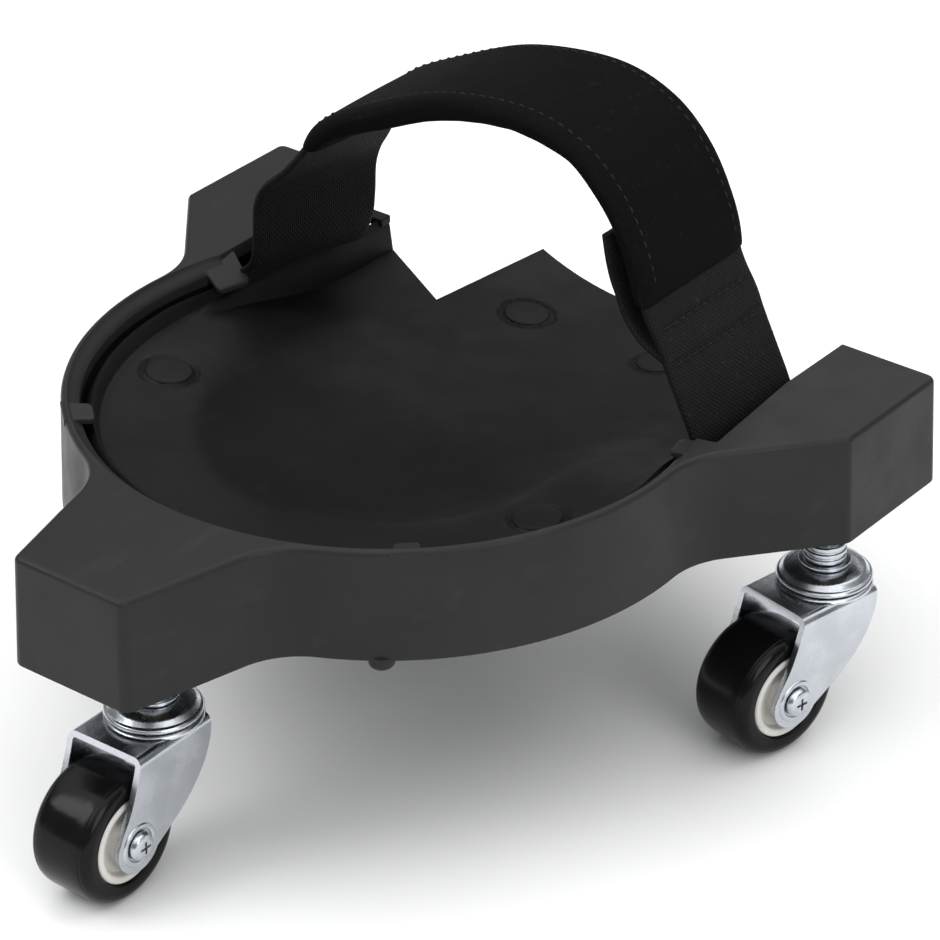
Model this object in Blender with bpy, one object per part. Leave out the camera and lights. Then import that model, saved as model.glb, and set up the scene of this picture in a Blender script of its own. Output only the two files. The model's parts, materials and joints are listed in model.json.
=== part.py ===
"""Rolling knee creeper: a moulded three-arm cradle on swivel casters, with a knee cup and a calf strap.

Metres, +Z up, floor at Z = 0. The nose arm points to -Y, and the shin leaves over the tongue at +Y.
"""

import math

import bmesh
import bpy
from mathutils import Matrix, Vector

# Driving dimensions.
GAP = 0.0003  # clearance between pieces that touch
REACH = 0.130  # centre line to the end face of a side arm
NOSE_Y = -0.135  # end face of the nose arm
TOP_Z = 0.110  # top face of the cradle
WALL_HEIGHT = 0.036
WALL = 0.003
DRAFT = 0.0013  # how far the walls lean out from top to bottom
TOP_ROUND = 0.0012  # rounding of the top edges

# Cradle plan.
RING_Y = NOSE_Y + 0.1447
RING_R = 0.100
NOSE_HALF = 0.0208
NOSE_LEAN = math.atan2(9.7, 37.0)  # the nose's sides, from the Y axis
ARM_FRONT_Y = NOSE_Y + 0.1992
ARM_BACK_Y = NOSE_Y + 0.2465
ARM_INNER_X = 0.0952
ARM_LEAN = math.atan2(22.5, 27.3)  # a side arm's front edge, from the Y axis
FILLET = 0.027
CORNER = 0.003
BOTTOM_Z = TOP_Z - WALL_HEIGHT
INNER_R = RING_R - WALL
FLOOR_THICK = 0.0025
FLOOR_BACK_Y = NOSE_Y + 0.210
CHAMFER_DEEP = 0.004  # softened inner edge of the rim
CHAMFER_WIDE = 0.0013
SHELF_WIDE = 0.0025  # shoulder inside the ring, below the softened edge
SHELF_DEEP = 0.0072
CLIP_ANGLES = (-131.5, -48.5, 13.5, 166.0)  # degrees round the ring
CLIP_WIDE = 0.0135
CLIP_REACH = 0.0060
CLIP_THICK = 0.0022

# Strap.
STRAP_Y = NOSE_Y + 0.200
STRAP_WIDE = 0.050
WEBBING = 0.0030
SLOT_OUT_X = 0.1003
SLOT_LIP = 0.0044  # thin edge of the arm's top that overhangs the slot
BAR_X = 0.0942
BAR_Z = BOTTOM_Z + 0.0085
BAR_R = 0.0025
BAR_LONG = 0.062
SLEEVE = 0.0095

# Knee cup.
CUP_HALF = 0.0885
CUP_THICK = 0.0028
LIP_DROP = 0.0065  # rim of the cup below the cradle's top
LIP_FALL = 0.0095  # how much lower the rim is at the back
WALL_FOOT_X = 0.0853
WALL_END_Y = NOSE_Y + 0.2510
WALL_SPREAD = 0.0020  # extra thickness outside the foot of the side walls
EAR_X = (0.0868, 0.0948)  # ears that stand against the arms
NOTCH_X = 0.0525
NOTCH_Y = NOSE_Y + 0.2320
TONGUE_HALF = 0.0465
TONGUE_Y = NOSE_Y + 0.2815
TONGUE_HOLLOW = 0.006  # how far the tongue's back edge curves in at the middle
BOWL_DEEP = 0.0300
FLAT_DEEP = 0.0280
TROUGH = 0.0045  # how much lower the middle of the tongue is than its edges
PEG_R = 0.0080

# Casters.
NOSE_SWIVEL = (0.0, NOSE_Y + 0.0329)
SIDE_SWIVEL = (0.1137, NOSE_Y + 0.2133)
CASTERS = (  # name, swivel axis, angle of the axle from the X axis in degrees
    ("nose", NOSE_SWIVEL, 0.6),
    ("right", SIDE_SWIVEL, -11.3),
    ("left", (-SIDE_SWIVEL[0], SIDE_SWIVEL[1]), 10.0),
)
WHEEL_R = 0.0205
TREAD_HALF = 0.011
TRAIL = 0.0244  # swivel axis to axle
FORK_IN = 0.0121
SHEET = 0.002
FORK_TOP = 0.0485
HUB_R = 0.0140
AXLE_R = 0.0025
STEM_R = 0.0040
BOSS_R = 0.0090
STEM_TOP = TOP_Z - 0.006
ROUND = 22  # sides of a turned piece
ROUND_SMALL = 16


def clear_scene():
    for obj in list(bpy.data.objects):
        bpy.data.objects.remove(obj, do_unlink=True)


def material(name, color, roughness, metallic=0.0):
    made = bpy.data.materials.new(name)
    made.use_nodes = True
    shader = made.node_tree.nodes["Principled BSDF"]
    shader.inputs["Base Color"].default_value = (*color, 1.0)
    shader.inputs["Roughness"].default_value = roughness
    shader.inputs["Metallic"].default_value = metallic
    return made


def add_object(name, mesh, look, place=None, parent=None):
    obj = bpy.data.objects.new(name, mesh)
    bpy.context.scene.collection.objects.link(obj)
    if look:
        mesh.materials.clear()
        mesh.materials.append(look)
    if parent:
        obj.parent = parent
    if place is not None:
        obj.matrix_local = place
    return obj


def mesh_from(bm, name, smooth=True):
    bmesh.ops.recalc_face_normals(bm, faces=bm.faces)
    mesh = bpy.data.meshes.new(name)
    bm.to_mesh(mesh)
    bm.free()
    if smooth:
        mesh.shade_smooth()
        mesh.set_sharp_from_angle(angle=math.radians(35))
    return mesh


def loft(name, loops):
    """A closed solid through loops of equal length, with its first and last loops capped."""
    bm = bmesh.new()
    rings = [[bm.verts.new(point) for point in loop] for loop in loops]
    count = len(rings[0])
    for low, high in zip(rings, rings[1:]):
        for i in range(count):
            j = (i + 1) % count
            bm.faces.new((low[i], low[j], high[j], high[i]))
    bm.faces.new(reversed(rings[0]))
    bm.faces.new(rings[-1])
    return mesh_from(bm, name)


def turned(name, profile, sides=ROUND, axis="Z"):
    """A closed (radius, height) profile turned about an axis. Points on the axis have radius 0."""
    bm = bmesh.new()
    rings = []
    for radius, height in profile:
        if radius == 0:
            rings.append([bm.verts.new((0, 0, height))])
            continue
        turns = [2 * math.pi * i / sides for i in range(sides)]
        rings.append([bm.verts.new((radius * math.cos(t), radius * math.sin(t), height)) for t in turns])
    for first, second in zip(rings, rings[1:] + rings[:1]):
        for i in range(sides):
            j = (i + 1) % sides
            corners = [first[i % len(first)], first[j % len(first)]]
            corners += [second[j % len(second)], second[i % len(second)]]
            corners = list(dict.fromkeys(corners))
            if len(corners) > 2:
                bm.faces.new(corners)
    if axis == "X":
        bmesh.ops.rotate(bm, verts=bm.verts, matrix=Matrix.Rotation(math.pi / 2, 3, "Y"))
    return mesh_from(bm, name)


def box(name, low, high):
    bm = bmesh.new()
    size = [b - a for a, b in zip(low, high)]
    middle = [(a + b) / 2 for a, b in zip(low, high)]
    bmesh.ops.create_cube(bm, size=1.0, matrix=Matrix.Translation(middle) @ Matrix.Diagonal((*size, 1)))
    return mesh_from(bm, name, smooth=False)


def helper(name, mesh, place=None, parent=None):
    """A hidden shape that a Boolean adds or cuts."""
    obj = add_object(name, mesh, None, place, parent)
    obj.hide_render = True
    obj.display_type = "WIRE"
    return obj


def combine(target, other, operation):
    made = target.modifiers.new(other.name, "BOOLEAN")
    made.operation = operation
    made.solver = "EXACT"
    made.object = other


def arc(centre, radius, start, end, steps):
    """Points on an arc from the start angle to the end angle."""
    angles = [start + (end - start) * i / steps for i in range(steps + 1)]
    return [Vector((centre[0] + radius * math.cos(a), centre[1] + radius * math.sin(a))) for a in angles]


def rounded(points, radius, steps=3):
    """The corner at the middle of three points, as an arc."""
    before, corner, after = (Vector(p) for p in points)
    to_before = (before - corner).normalized()
    to_after = (after - corner).normalized()
    half = math.acos(max(-1.0, min(1.0, to_before.dot(to_after)))) / 2
    centre = corner + (to_before + to_after).normalized() * (radius / math.sin(half))
    first = corner + to_before * (radius / math.tan(half)) - centre
    last = corner + to_after * (radius / math.tan(half)) - centre
    start = math.atan2(first.y, first.x)
    turn = math.atan2(last.y, last.x) - start
    turn = (turn + math.pi) % (2 * math.pi) - math.pi
    return arc(centre, radius, start, start + turn, steps)


def fillet_to_ring(point, outward, radius, ring_radius):
    """Centre of the fillet that joins the line through point, whose outward normal is given, to the ring."""
    start = Vector(point) + outward * radius - Vector((0, RING_Y))
    along = Vector((-outward.y, outward.x))
    middle = start.dot(along)
    reach = ring_radius + radius
    offset = math.sqrt(middle**2 - start.dot(start) + reach**2)
    ends = [start + along * (-middle + side * offset) for side in (1, -1)]
    return ends


def half_outline(grow):
    """Right half of the cradle's outline, from the nose round to the back, grown outwards by grow."""
    nose_out = Vector((math.cos(NOSE_LEAN), -math.sin(NOSE_LEAN)))
    arm_out = Vector((math.cos(ARM_LEAN), -math.sin(ARM_LEAN)))
    ring_r = RING_R + grow
    ring = Vector((0, RING_Y))
    nose_line = Vector((NOSE_HALF, NOSE_Y)) + nose_out * grow
    arm_line = Vector((REACH, ARM_FRONT_Y)) + arm_out * grow
    nose_y = NOSE_Y - grow
    back_y = ARM_BACK_Y + grow
    end_x = REACH + grow

    def line_at(origin, lean, y=None, x=None):
        slope = math.tan(lean)
        if y is not None:
            return Vector((origin.x + (y - origin.y) * slope, y))
        return Vector((x, origin.y + (x - origin.x) / slope))

    nose_corner = line_at(nose_line, NOSE_LEAN, y=nose_y)
    nose_far = line_at(nose_line, NOSE_LEAN, y=nose_y + 0.03)
    points = rounded(((0, nose_y), nose_corner, nose_far), CORNER + grow)

    fillet = FILLET - grow
    centre = min(fillet_to_ring(nose_line, nose_out, fillet, ring_r), key=lambda p: p.y) + ring
    to_ring = (ring - centre).normalized()
    start = math.atan2(-nose_out.y, -nose_out.x)
    end = math.atan2(to_ring.y, to_ring.x)
    points += arc(centre, fillet, start, end, 6)
    ring_start = math.atan2(-to_ring.y, -to_ring.x)

    side = max(fillet_to_ring(arm_line, arm_out, fillet, ring_r), key=lambda p: p.x) + ring
    from_ring = (ring - side).normalized()
    ring_end = math.atan2(-from_ring.y, -from_ring.x)
    points += arc(ring, ring_r, ring_start, ring_end, 10)[1:-1]
    start = math.atan2(from_ring.y, from_ring.x) % (2 * math.pi)
    end = math.atan2(-arm_out.y, -arm_out.x) % (2 * math.pi)
    points += arc(side, fillet, start, end, 6)

    corner = line_at(arm_line, ARM_LEAN, x=end_x)
    before = corner - Vector((math.sin(ARM_LEAN), math.cos(ARM_LEAN))) * 0.01
    points += rounded((before, corner, (end_x, corner.y + 0.01)), CORNER + grow)
    points += rounded(((end_x, back_y - 0.01), (end_x, back_y), (end_x - 0.01, back_y)), CORNER + grow)
    return points


def outline(grow, z):
    right = half_outline(grow)
    left = [Vector((-p.x, p.y)) for p in reversed(right)]
    return [(p.x, p.y, z) for p in right + left]


def opening_half(grow, lip, shelf):
    """Right half of the opening. A lip narrows the strap slot at its top, and a shelf narrows the ring."""
    step_y = NOSE_Y + 0.1725
    inner = INNER_R + grow - shelf
    end = math.asin((step_y - grow - RING_Y) / inner)
    points = arc((0, RING_Y), inner, -math.pi / 2, end, 15)[1:]
    front_x = SLOT_OUT_X - (0.0011 if lip else 0.0)
    back_x = ARM_INNER_X if lip else SLOT_OUT_X - 0.0015
    back_y = NOSE_Y + (0.215 if lip else 0.227)
    points += [
        Vector((front_x + grow, step_y + 0.0015 - grow)),
        Vector((back_x + grow, back_y + grow)),
        Vector((ARM_INNER_X + grow, NOSE_Y + 0.235 + grow)),
        Vector((ARM_INNER_X + grow, ARM_BACK_Y + 0.02)),
    ]
    return points


def opening(grow, z, lip=False, shelf=0.0):
    right = opening_half(grow, lip, shelf)
    left = [Vector((-p.x, p.y)) for p in reversed(right)]
    return [(p.x, p.y, z) for p in [Vector((0, RING_Y - INNER_R - grow + shelf))] + right + left]


def round_edge_levels():
    """(grow, z) from the bottom of the wall up round its top edge."""
    return (
        (DRAFT, BOTTOM_Z),
        (0.0, TOP_Z - TOP_ROUND),
        (-0.3 * TOP_ROUND, TOP_Z - 0.3 * TOP_ROUND),
        (-TOP_ROUND, TOP_Z),
    )


def build_cradle(look):
    levels = [outline(grow, z) for grow, z in round_edge_levels()]
    shell = add_object("cradle_shell", loft("cradle_shell", levels), look)

    # The arms are hollow from below. A wall stays round the opening, and a plate on top.
    pocket = helper(
        "arm_pockets",
        loft("arm_pockets", [outline(DRAFT - WALL, BOTTOM_Z - 0.01), outline(-WALL, TOP_Z - WALL)]),
    )
    keep = helper("opening_wall", loft("opening_wall", [opening(WALL, z) for z in (BOTTOM_Z - 0.02, TOP_Z)]))
    combine(pocket, keep, "DIFFERENCE")
    combine(shell, pocket, "DIFFERENCE")

    levels = [opening(0.0, BOTTOM_Z + FLOOR_THICK), opening(0.0, TOP_Z - SHELF_DEEP - 0.0006)]
    levels.append(opening(0.0, TOP_Z - SHELF_DEEP, shelf=SHELF_WIDE))
    levels.append(opening(0.0, TOP_Z - SLOT_LIP - 0.0001, shelf=SHELF_WIDE))
    levels.append(opening(0.0, TOP_Z - SLOT_LIP, lip=True, shelf=SHELF_WIDE))
    levels.append(opening(0.0, TOP_Z - CHAMFER_DEEP, lip=True, shelf=SHELF_WIDE))
    levels.append(opening(CHAMFER_WIDE, TOP_Z + 0.0001, lip=True))
    well = helper("cup_opening", loft("cup_opening", levels))
    combine(shell, well, "DIFFERENCE")
    low = (-ARM_INNER_X, FLOOR_BACK_Y, BOTTOM_Z - 0.01)
    high = (ARM_INNER_X, ARM_BACK_Y + 0.03, BOTTOM_Z + 0.01)
    combine(shell, helper("open_back", box("open_back", low, high)), "DIFFERENCE")

    for name, (x, y), _ in CASTERS:
        add_boss(shell, name, x, y)
    for side, sign in (("right", 1), ("left", -1)):
        add_bar_lugs(shell, side, sign)
        add_wall_lug(shell, side, sign)
    for index, angle in enumerate(CLIP_ANGLES):
        low = (INNER_R - CLIP_REACH, -CLIP_WIDE / 2, TOP_Z - 0.0012 - CLIP_THICK)
        high = (INNER_R + 0.0018, CLIP_WIDE / 2, TOP_Z - 0.0012)
        place = Matrix.Translation((0, RING_Y, 0)) @ Matrix.Rotation(math.radians(angle), 4, "Z")
        clip = helper(f"clip_{index}", box(f"clip_{index}", low, high), place)
        combine(shell, clip, "UNION")
    return shell


def add_boss(shell, name, x, y):
    """A stem boss inside an arm, with two ribs that tie it to the walls."""
    foot = BOTTOM_Z + 0.002
    top = TOP_Z - WALL + 0.0005
    place = Matrix.Translation((x, y, 0))
    profile = [(0, foot), (BOSS_R, foot), (BOSS_R, top), (0, top)]
    combine(shell, helper(f"{name}_boss", turned(f"{name}_boss", profile, ROUND_SMALL), place), "UNION")
    half = 0.001
    if x == 0:
        spans = (((-0.0265, -half), (0.0265, half)), ((-half, NOSE_Y + 0.001 - y), (half, 0.0165)))
    else:
        inner = math.copysign(SLOT_OUT_X + 0.0015, x) - x
        outer = math.copysign(REACH - 0.0015, x) - x
        spans = (((min(inner, outer), -half), (max(inner, outer), half)), ((-half, -0.0195), (half, 0.0325)))
    for index, (low, high) in enumerate(spans):
        rib = box(f"{name}_rib_{index}", (*low, foot + 0.012), (*high, top))
        combine(shell, helper(f"{name}_rib_{index}", rib, place), "UNION")
    hole = [(0, foot - 0.01), (0.0063, foot - 0.01), (0.0063, TOP_Z - 0.0052), (0, TOP_Z - 0.0052)]
    combine(shell, helper(f"{name}_boss_hole", turned(f"{name}_boss_hole", hole), place), "DIFFERENCE")


def add_bar_lugs(shell, side, sign):
    """Two lugs beside a strap slot, with a hole through both for the strap bar."""
    for end, offset in (("front", -1), ("back", 1)):
        middle = STRAP_Y + offset * (STRAP_WIDE / 2 + 0.0045)
        ends = sorted((sign * (BAR_X - 0.0045), sign * (SLOT_OUT_X + 0.001)))
        low = (ends[0], middle - 0.0023, BOTTOM_Z + 0.0005)
        high = (ends[1], middle + 0.0023, BAR_Z + 0.0042)
        name = f"{side}_{end}_lug"
        combine(shell, helper(name, box(name, low, high)), "UNION")
    half = BAR_LONG / 2 + GAP
    radius = BAR_R + GAP
    profile = [(0, -half), (radius, -half), (radius, half), (0, half)]
    place = Matrix.Translation((sign * BAR_X, STRAP_Y, BAR_Z)) @ Matrix.Rotation(math.pi / 2, 4, "X")
    name = f"{side}_bar_hole"
    combine(shell, helper(name, turned(name, profile, 16), place), "DIFFERENCE")


def add_wall_lug(shell, side, sign):
    """A small rounded lug under the ring wall, below each front clip."""
    angle = math.radians(-90 + sign * 37)
    place = Matrix.Translation((0, RING_Y, 0)) @ Matrix.Rotation(angle, 4, "Z")
    place = place @ Matrix.Translation((RING_R - 0.0014, 0, 0))
    foot = BOTTOM_Z - 0.0032
    profile = [(0, foot), (0.0028, foot), (0.0040, foot + 0.0013), (0.0040, BOTTOM_Z + 0.001)]
    profile += [(0, BOTTOM_Z + 0.001)]
    name = f"{side}_wall_lug"
    combine(shell, helper(name, turned(name, profile, 16), place), "UNION")


def smooth_step(value):
    value = max(0.0, min(1.0, value))
    return value * value * (3 - 2 * value)


def between(stops, at):
    """Straight-line reading of (position, value) stops."""
    for (a, low), (b, high) in zip(stops, stops[1:]):
        if at <= b:
            return low + (high - low) * (at - a) / (b - a)
    return stops[-1][1]


BOWL = (  # share of the half width, depth below the cradle's top
    (0.0, BOWL_DEEP),
    (0.15, BOWL_DEEP - 0.0005),
    (0.35, BOWL_DEEP - 0.0035),
    (0.55, 0.0205),
    (0.70, 0.0145),
    (0.85, 0.0125),
    (0.965, 0.0115),
    (1.0, LIP_DROP),
)


def cup_depth(share, y):
    """Depth of the cup's inside below the cradle's top, at a share of its half width."""
    front = between(BOWL, share)
    back_share = (y - RING_Y) / (WALL_END_Y - RING_Y)
    if back_share <= 0:
        return front
    lip = LIP_DROP + LIP_FALL * smooth_step(back_share * 1.3)
    middle = BOWL_DEEP + (FLAT_DEEP + TROUGH - BOWL_DEEP) * smooth_step((y - FLOOR_BACK_Y) / 0.05)
    edge = TONGUE_HALF / CUP_HALF
    stops = [(edge * i / 4, FLAT_DEEP + (middle - FLAT_DEEP) * (1 - (i / 4) ** 2)) for i in range(5)]
    stops += [(WALL_FOOT_X / CUP_HALF, FLAT_DEEP - 0.0004), (0.983, lip + 0.0030), (1.0, lip)]
    return front + (between(stops, share) - front) * smooth_step(back_share * 1.25)


def cup_back(share):
    """Y of the cup's back edge at a share of its half width: a hollowed tongue between two notches."""
    edge = TONGUE_HALF / CUP_HALF
    if share <= edge:
        return TONGUE_Y - TONGUE_HOLLOW * (1 - (share / edge) ** 2)
    stops = (
        (edge, TONGUE_Y),
        (NOTCH_X / CUP_HALF, NOTCH_Y),
        (WALL_FOOT_X / CUP_HALF, WALL_END_Y - 0.001),
        (1.0, WALL_END_Y),
    )
    return between(stops, share)


def build_cup(look):
    """Cup skin: spokes across the round front, then rows back to the tongue, with an underside below."""
    edge = TONGUE_HALF / CUP_HALF
    foot = WALL_FOOT_X / CUP_HALF
    shares = (0.15, 0.33, edge, NOTCH_X / CUP_HALF, 0.70, 0.85, foot, 0.983, 1.0)
    bm = bmesh.new()

    def vertex(x, y, share):
        return bm.verts.new((x, y, TOP_Z - cup_depth(share, y)))

    middle = vertex(0, RING_Y, 0.0)
    turns = [math.pi * (1 + i / 20) for i in range(21)]
    spokes = []
    for turn in turns:
        spoke = []
        for share in shares:
            reach = CUP_HALF * share
            spoke.append(vertex(reach * math.cos(turn), RING_Y + reach * math.sin(turn), share))
        spokes.append(spoke)
    for a, b in zip(spokes, spokes[1:]):
        bm.faces.new((middle, a[0], b[0]))
        for i in range(len(shares) - 1):
            bm.faces.new((a[i], a[i + 1], b[i + 1], b[i]))
    row = list(reversed(spokes[0])) + [middle] + spokes[-1]
    steps = 9
    for step in range(1, steps + 1):
        following = []
        for share in [-s for s in reversed(shares)] + [0.0] + list(shares):
            y = RING_Y + (cup_back(abs(share)) - RING_Y) * step / steps
            following.append(vertex(share * CUP_HALF, y, abs(share)))
        for i in range(len(row) - 1):
            bm.faces.new((row[i], row[i + 1], following[i + 1], following[i]))
        row = following
    add_underside(bm)
    cup = add_object("knee_cup", mesh_from(bm, "knee_cup"), look)
    for side, sign in (("right", 1), ("left", -1)):
        ends = sorted(sign * x for x in EAR_X)
        low = (ends[0], WALL_END_Y - 0.005, TOP_Z - LIP_DROP - LIP_FALL - 0.0025)
        high = (ends[1], WALL_END_Y, TOP_Z - LIP_DROP - LIP_FALL + 0.0005)
        combine(cup, helper(f"{side}_ear", box(f"{side}_ear", low, high)), "UNION")
    for name, x, y in peg_places():
        z = TOP_Z - cup_depth(cup_share(x, y), y)
        hole = [(0, z - 0.02), (0.0027, z - 0.02), (0.0027, z + 0.02), (0, z + 0.02)]
        place = Matrix.Translation((x, y, 0))
        combine(cup, helper(f"{name}_hole", turned(f"{name}_hole", hole, 12), place), "DIFFERENCE")
    return cup


def add_underside(bm):
    """Gives the skin its thickness downwards, and outwards at the foot of the side walls."""
    under = bmesh.ops.extrude_face_region(bm, geom=list(bm.faces))
    for vertex in [item for item in under["geom"] if isinstance(item, bmesh.types.BMVert)]:
        x, y, _ = vertex.co
        out = Vector((x, min(0.0, y - RING_Y), 0))
        share = out.length / CUP_HALF
        foot = WALL_FOOT_X / CUP_HALF
        spread = between(((0.0, 0.0), (0.85, 0.0), (foot, WALL_SPREAD), (1.0, 0.0015)), min(share, 1.0))
        vertex.co += out.normalized() * spread
        vertex.co.z -= CUP_THICK


def cup_share(x, y):
    """Distance from the cup's middle line, as a share of its half width."""
    return math.hypot(x, min(0.0, y - RING_Y)) / CUP_HALF


def peg_places():
    """Names and places of the button-headed pegs that hold the cup's lining down."""
    side = 0.0717
    side_y = NOSE_Y + 0.1234
    tongue = 0.0265
    tongue_y = NOSE_Y + 0.2465
    return (
        ("cup_peg_left", -side, side_y),
        ("cup_peg_right", side, side_y),
        ("tongue_peg_left", -tongue, tongue_y),
        ("tongue_peg_right", tongue, tongue_y),
    )


def build_pegs(look):
    """Each peg's head clears the highest part of the lining under it."""
    for name, x, y in peg_places():
        rim = [(x + p.x, y + p.y) for p in arc((0, 0), PEG_R, 0, 2 * math.pi, 16)]
        z = TOP_Z - min(cup_depth(cup_share(*place), place[1]) for place in rim) + GAP
        deep = z - CUP_THICK - 0.0030
        profile = [(0, deep), (0.0023, deep), (0.0023, z), (PEG_R, z), (PEG_R, z + 0.0005)]
        profile += [(PEG_R - 0.0006, z + 0.0009), (0, z + 0.0009)]
        add_object(name, turned(name, profile, ROUND_SMALL), look, Matrix.Translation((x, y, 0)))


def ribbon(name, centre_line, thickness, wide, look):
    """A band of even thickness that follows (x, z) points, as wide as the strap along Y."""
    points = [Vector(p) for p in centre_line]
    outer = []
    inner = []
    for i, point in enumerate(points):
        before = points[max(0, i - 1)]
        after = points[min(len(points) - 1, i + 1)]
        along = (after - before).normalized()
        across = Vector((-along.y, along.x)) * (thickness / 2)
        outer.append(point + across)
        inner.append(point - across)
    loop = outer + inner[::-1]
    loops = [[(p.x, y, p.y) for p in loop] for y in (STRAP_Y - wide / 2, STRAP_Y + wide / 2)]
    return add_object(name, loft(name, loops), look)


def curve_through(points, steps):
    """Catmull-Rom curve through the points."""
    points = [Vector(p) for p in points]
    padded = [points[0] * 2 - points[1]] + points + [points[-1] * 2 - points[-2]]
    made = []
    for a, b, c, d in zip(padded, padded[1:], padded[2:], padded[3:]):
        for i in range(steps):
            t = i / steps
            square = (2 * a - 5 * b + 4 * c - d) * t**2
            cube = (3 * b - a - 3 * c + d) * t**3
            made.append((2 * b + (c - a) * t + square + cube) / 2)
    return made + [points[-1]]


def rise(x, height):
    return (x, TOP_Z + height)


def build_strap(padding, webbing, steel):
    sleeve_line = [
        rise(-0.0584, 0.0465),
        rise(-0.0506, 0.0554),
        rise(-0.0327, 0.0648),
        rise(-0.0058, 0.0765),
        rise(0.0240, 0.0808),
        rise(0.0437, 0.0758),
        rise(0.0569, 0.0645),
        rise(0.0658, 0.0487),
        rise(0.0705, 0.0333),
    ]
    ribbon("strap_sleeve", curve_through(sleeve_line, 3), SLEEVE, STRAP_WIDE + 0.003, padding)
    right_line = [rise(0.0724, 0.0300), rise(0.0768, 0.0228), rise(0.0800, 0.0158), rise(0.0845, 0.0068)]
    right_line += [rise(0.0890, -0.0015), rise(0.0915, -0.0075)]
    left_line = [rise(-0.0610, 0.0445), rise(-0.0680, 0.0368), rise(-0.0765, 0.0285), rise(-0.0804, 0.0200)]
    left_line += [rise(-0.0818, 0.0080), rise(-0.0832, 0.0000), rise(-0.0865, -0.0042)]
    left_line += [rise(-0.0910, -0.0070), rise(-0.0938, -0.0115)]
    for side, sign, line in (("right", 1, right_line), ("left", -1, left_line)):
        line = curve_through(line, 3)
        loop_r = BAR_R + GAP + WEBBING / 2
        line.append(Vector((sign * BAR_X, BAR_Z + loop_r)))
        band = ribbon(f"webbing_{side}", line, WEBBING, STRAP_WIDE, webbing)
        out = BAR_R + GAP + WEBBING / 2 + 0.0002
        profile = [(BAR_R + GAP, -STRAP_WIDE / 2), (out, -STRAP_WIDE / 2), (out, STRAP_WIDE / 2)]
        profile += [(BAR_R + GAP, STRAP_WIDE / 2)]
        place = Matrix.Translation((sign * BAR_X, STRAP_Y, BAR_Z)) @ Matrix.Rotation(math.pi / 2, 4, "X")
        eye = helper(f"webbing_{side}_eye", turned(f"webbing_{side}_eye", profile, 16), place)
        combine(band, eye, "UNION")
        half = BAR_LONG / 2
        profile = [(0, -half), (BAR_R, -half), (BAR_R, half), (0, half)]
        add_object(f"strap_bar_{side}", turned(f"strap_bar_{side}", profile, 16), steel, place)


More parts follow.
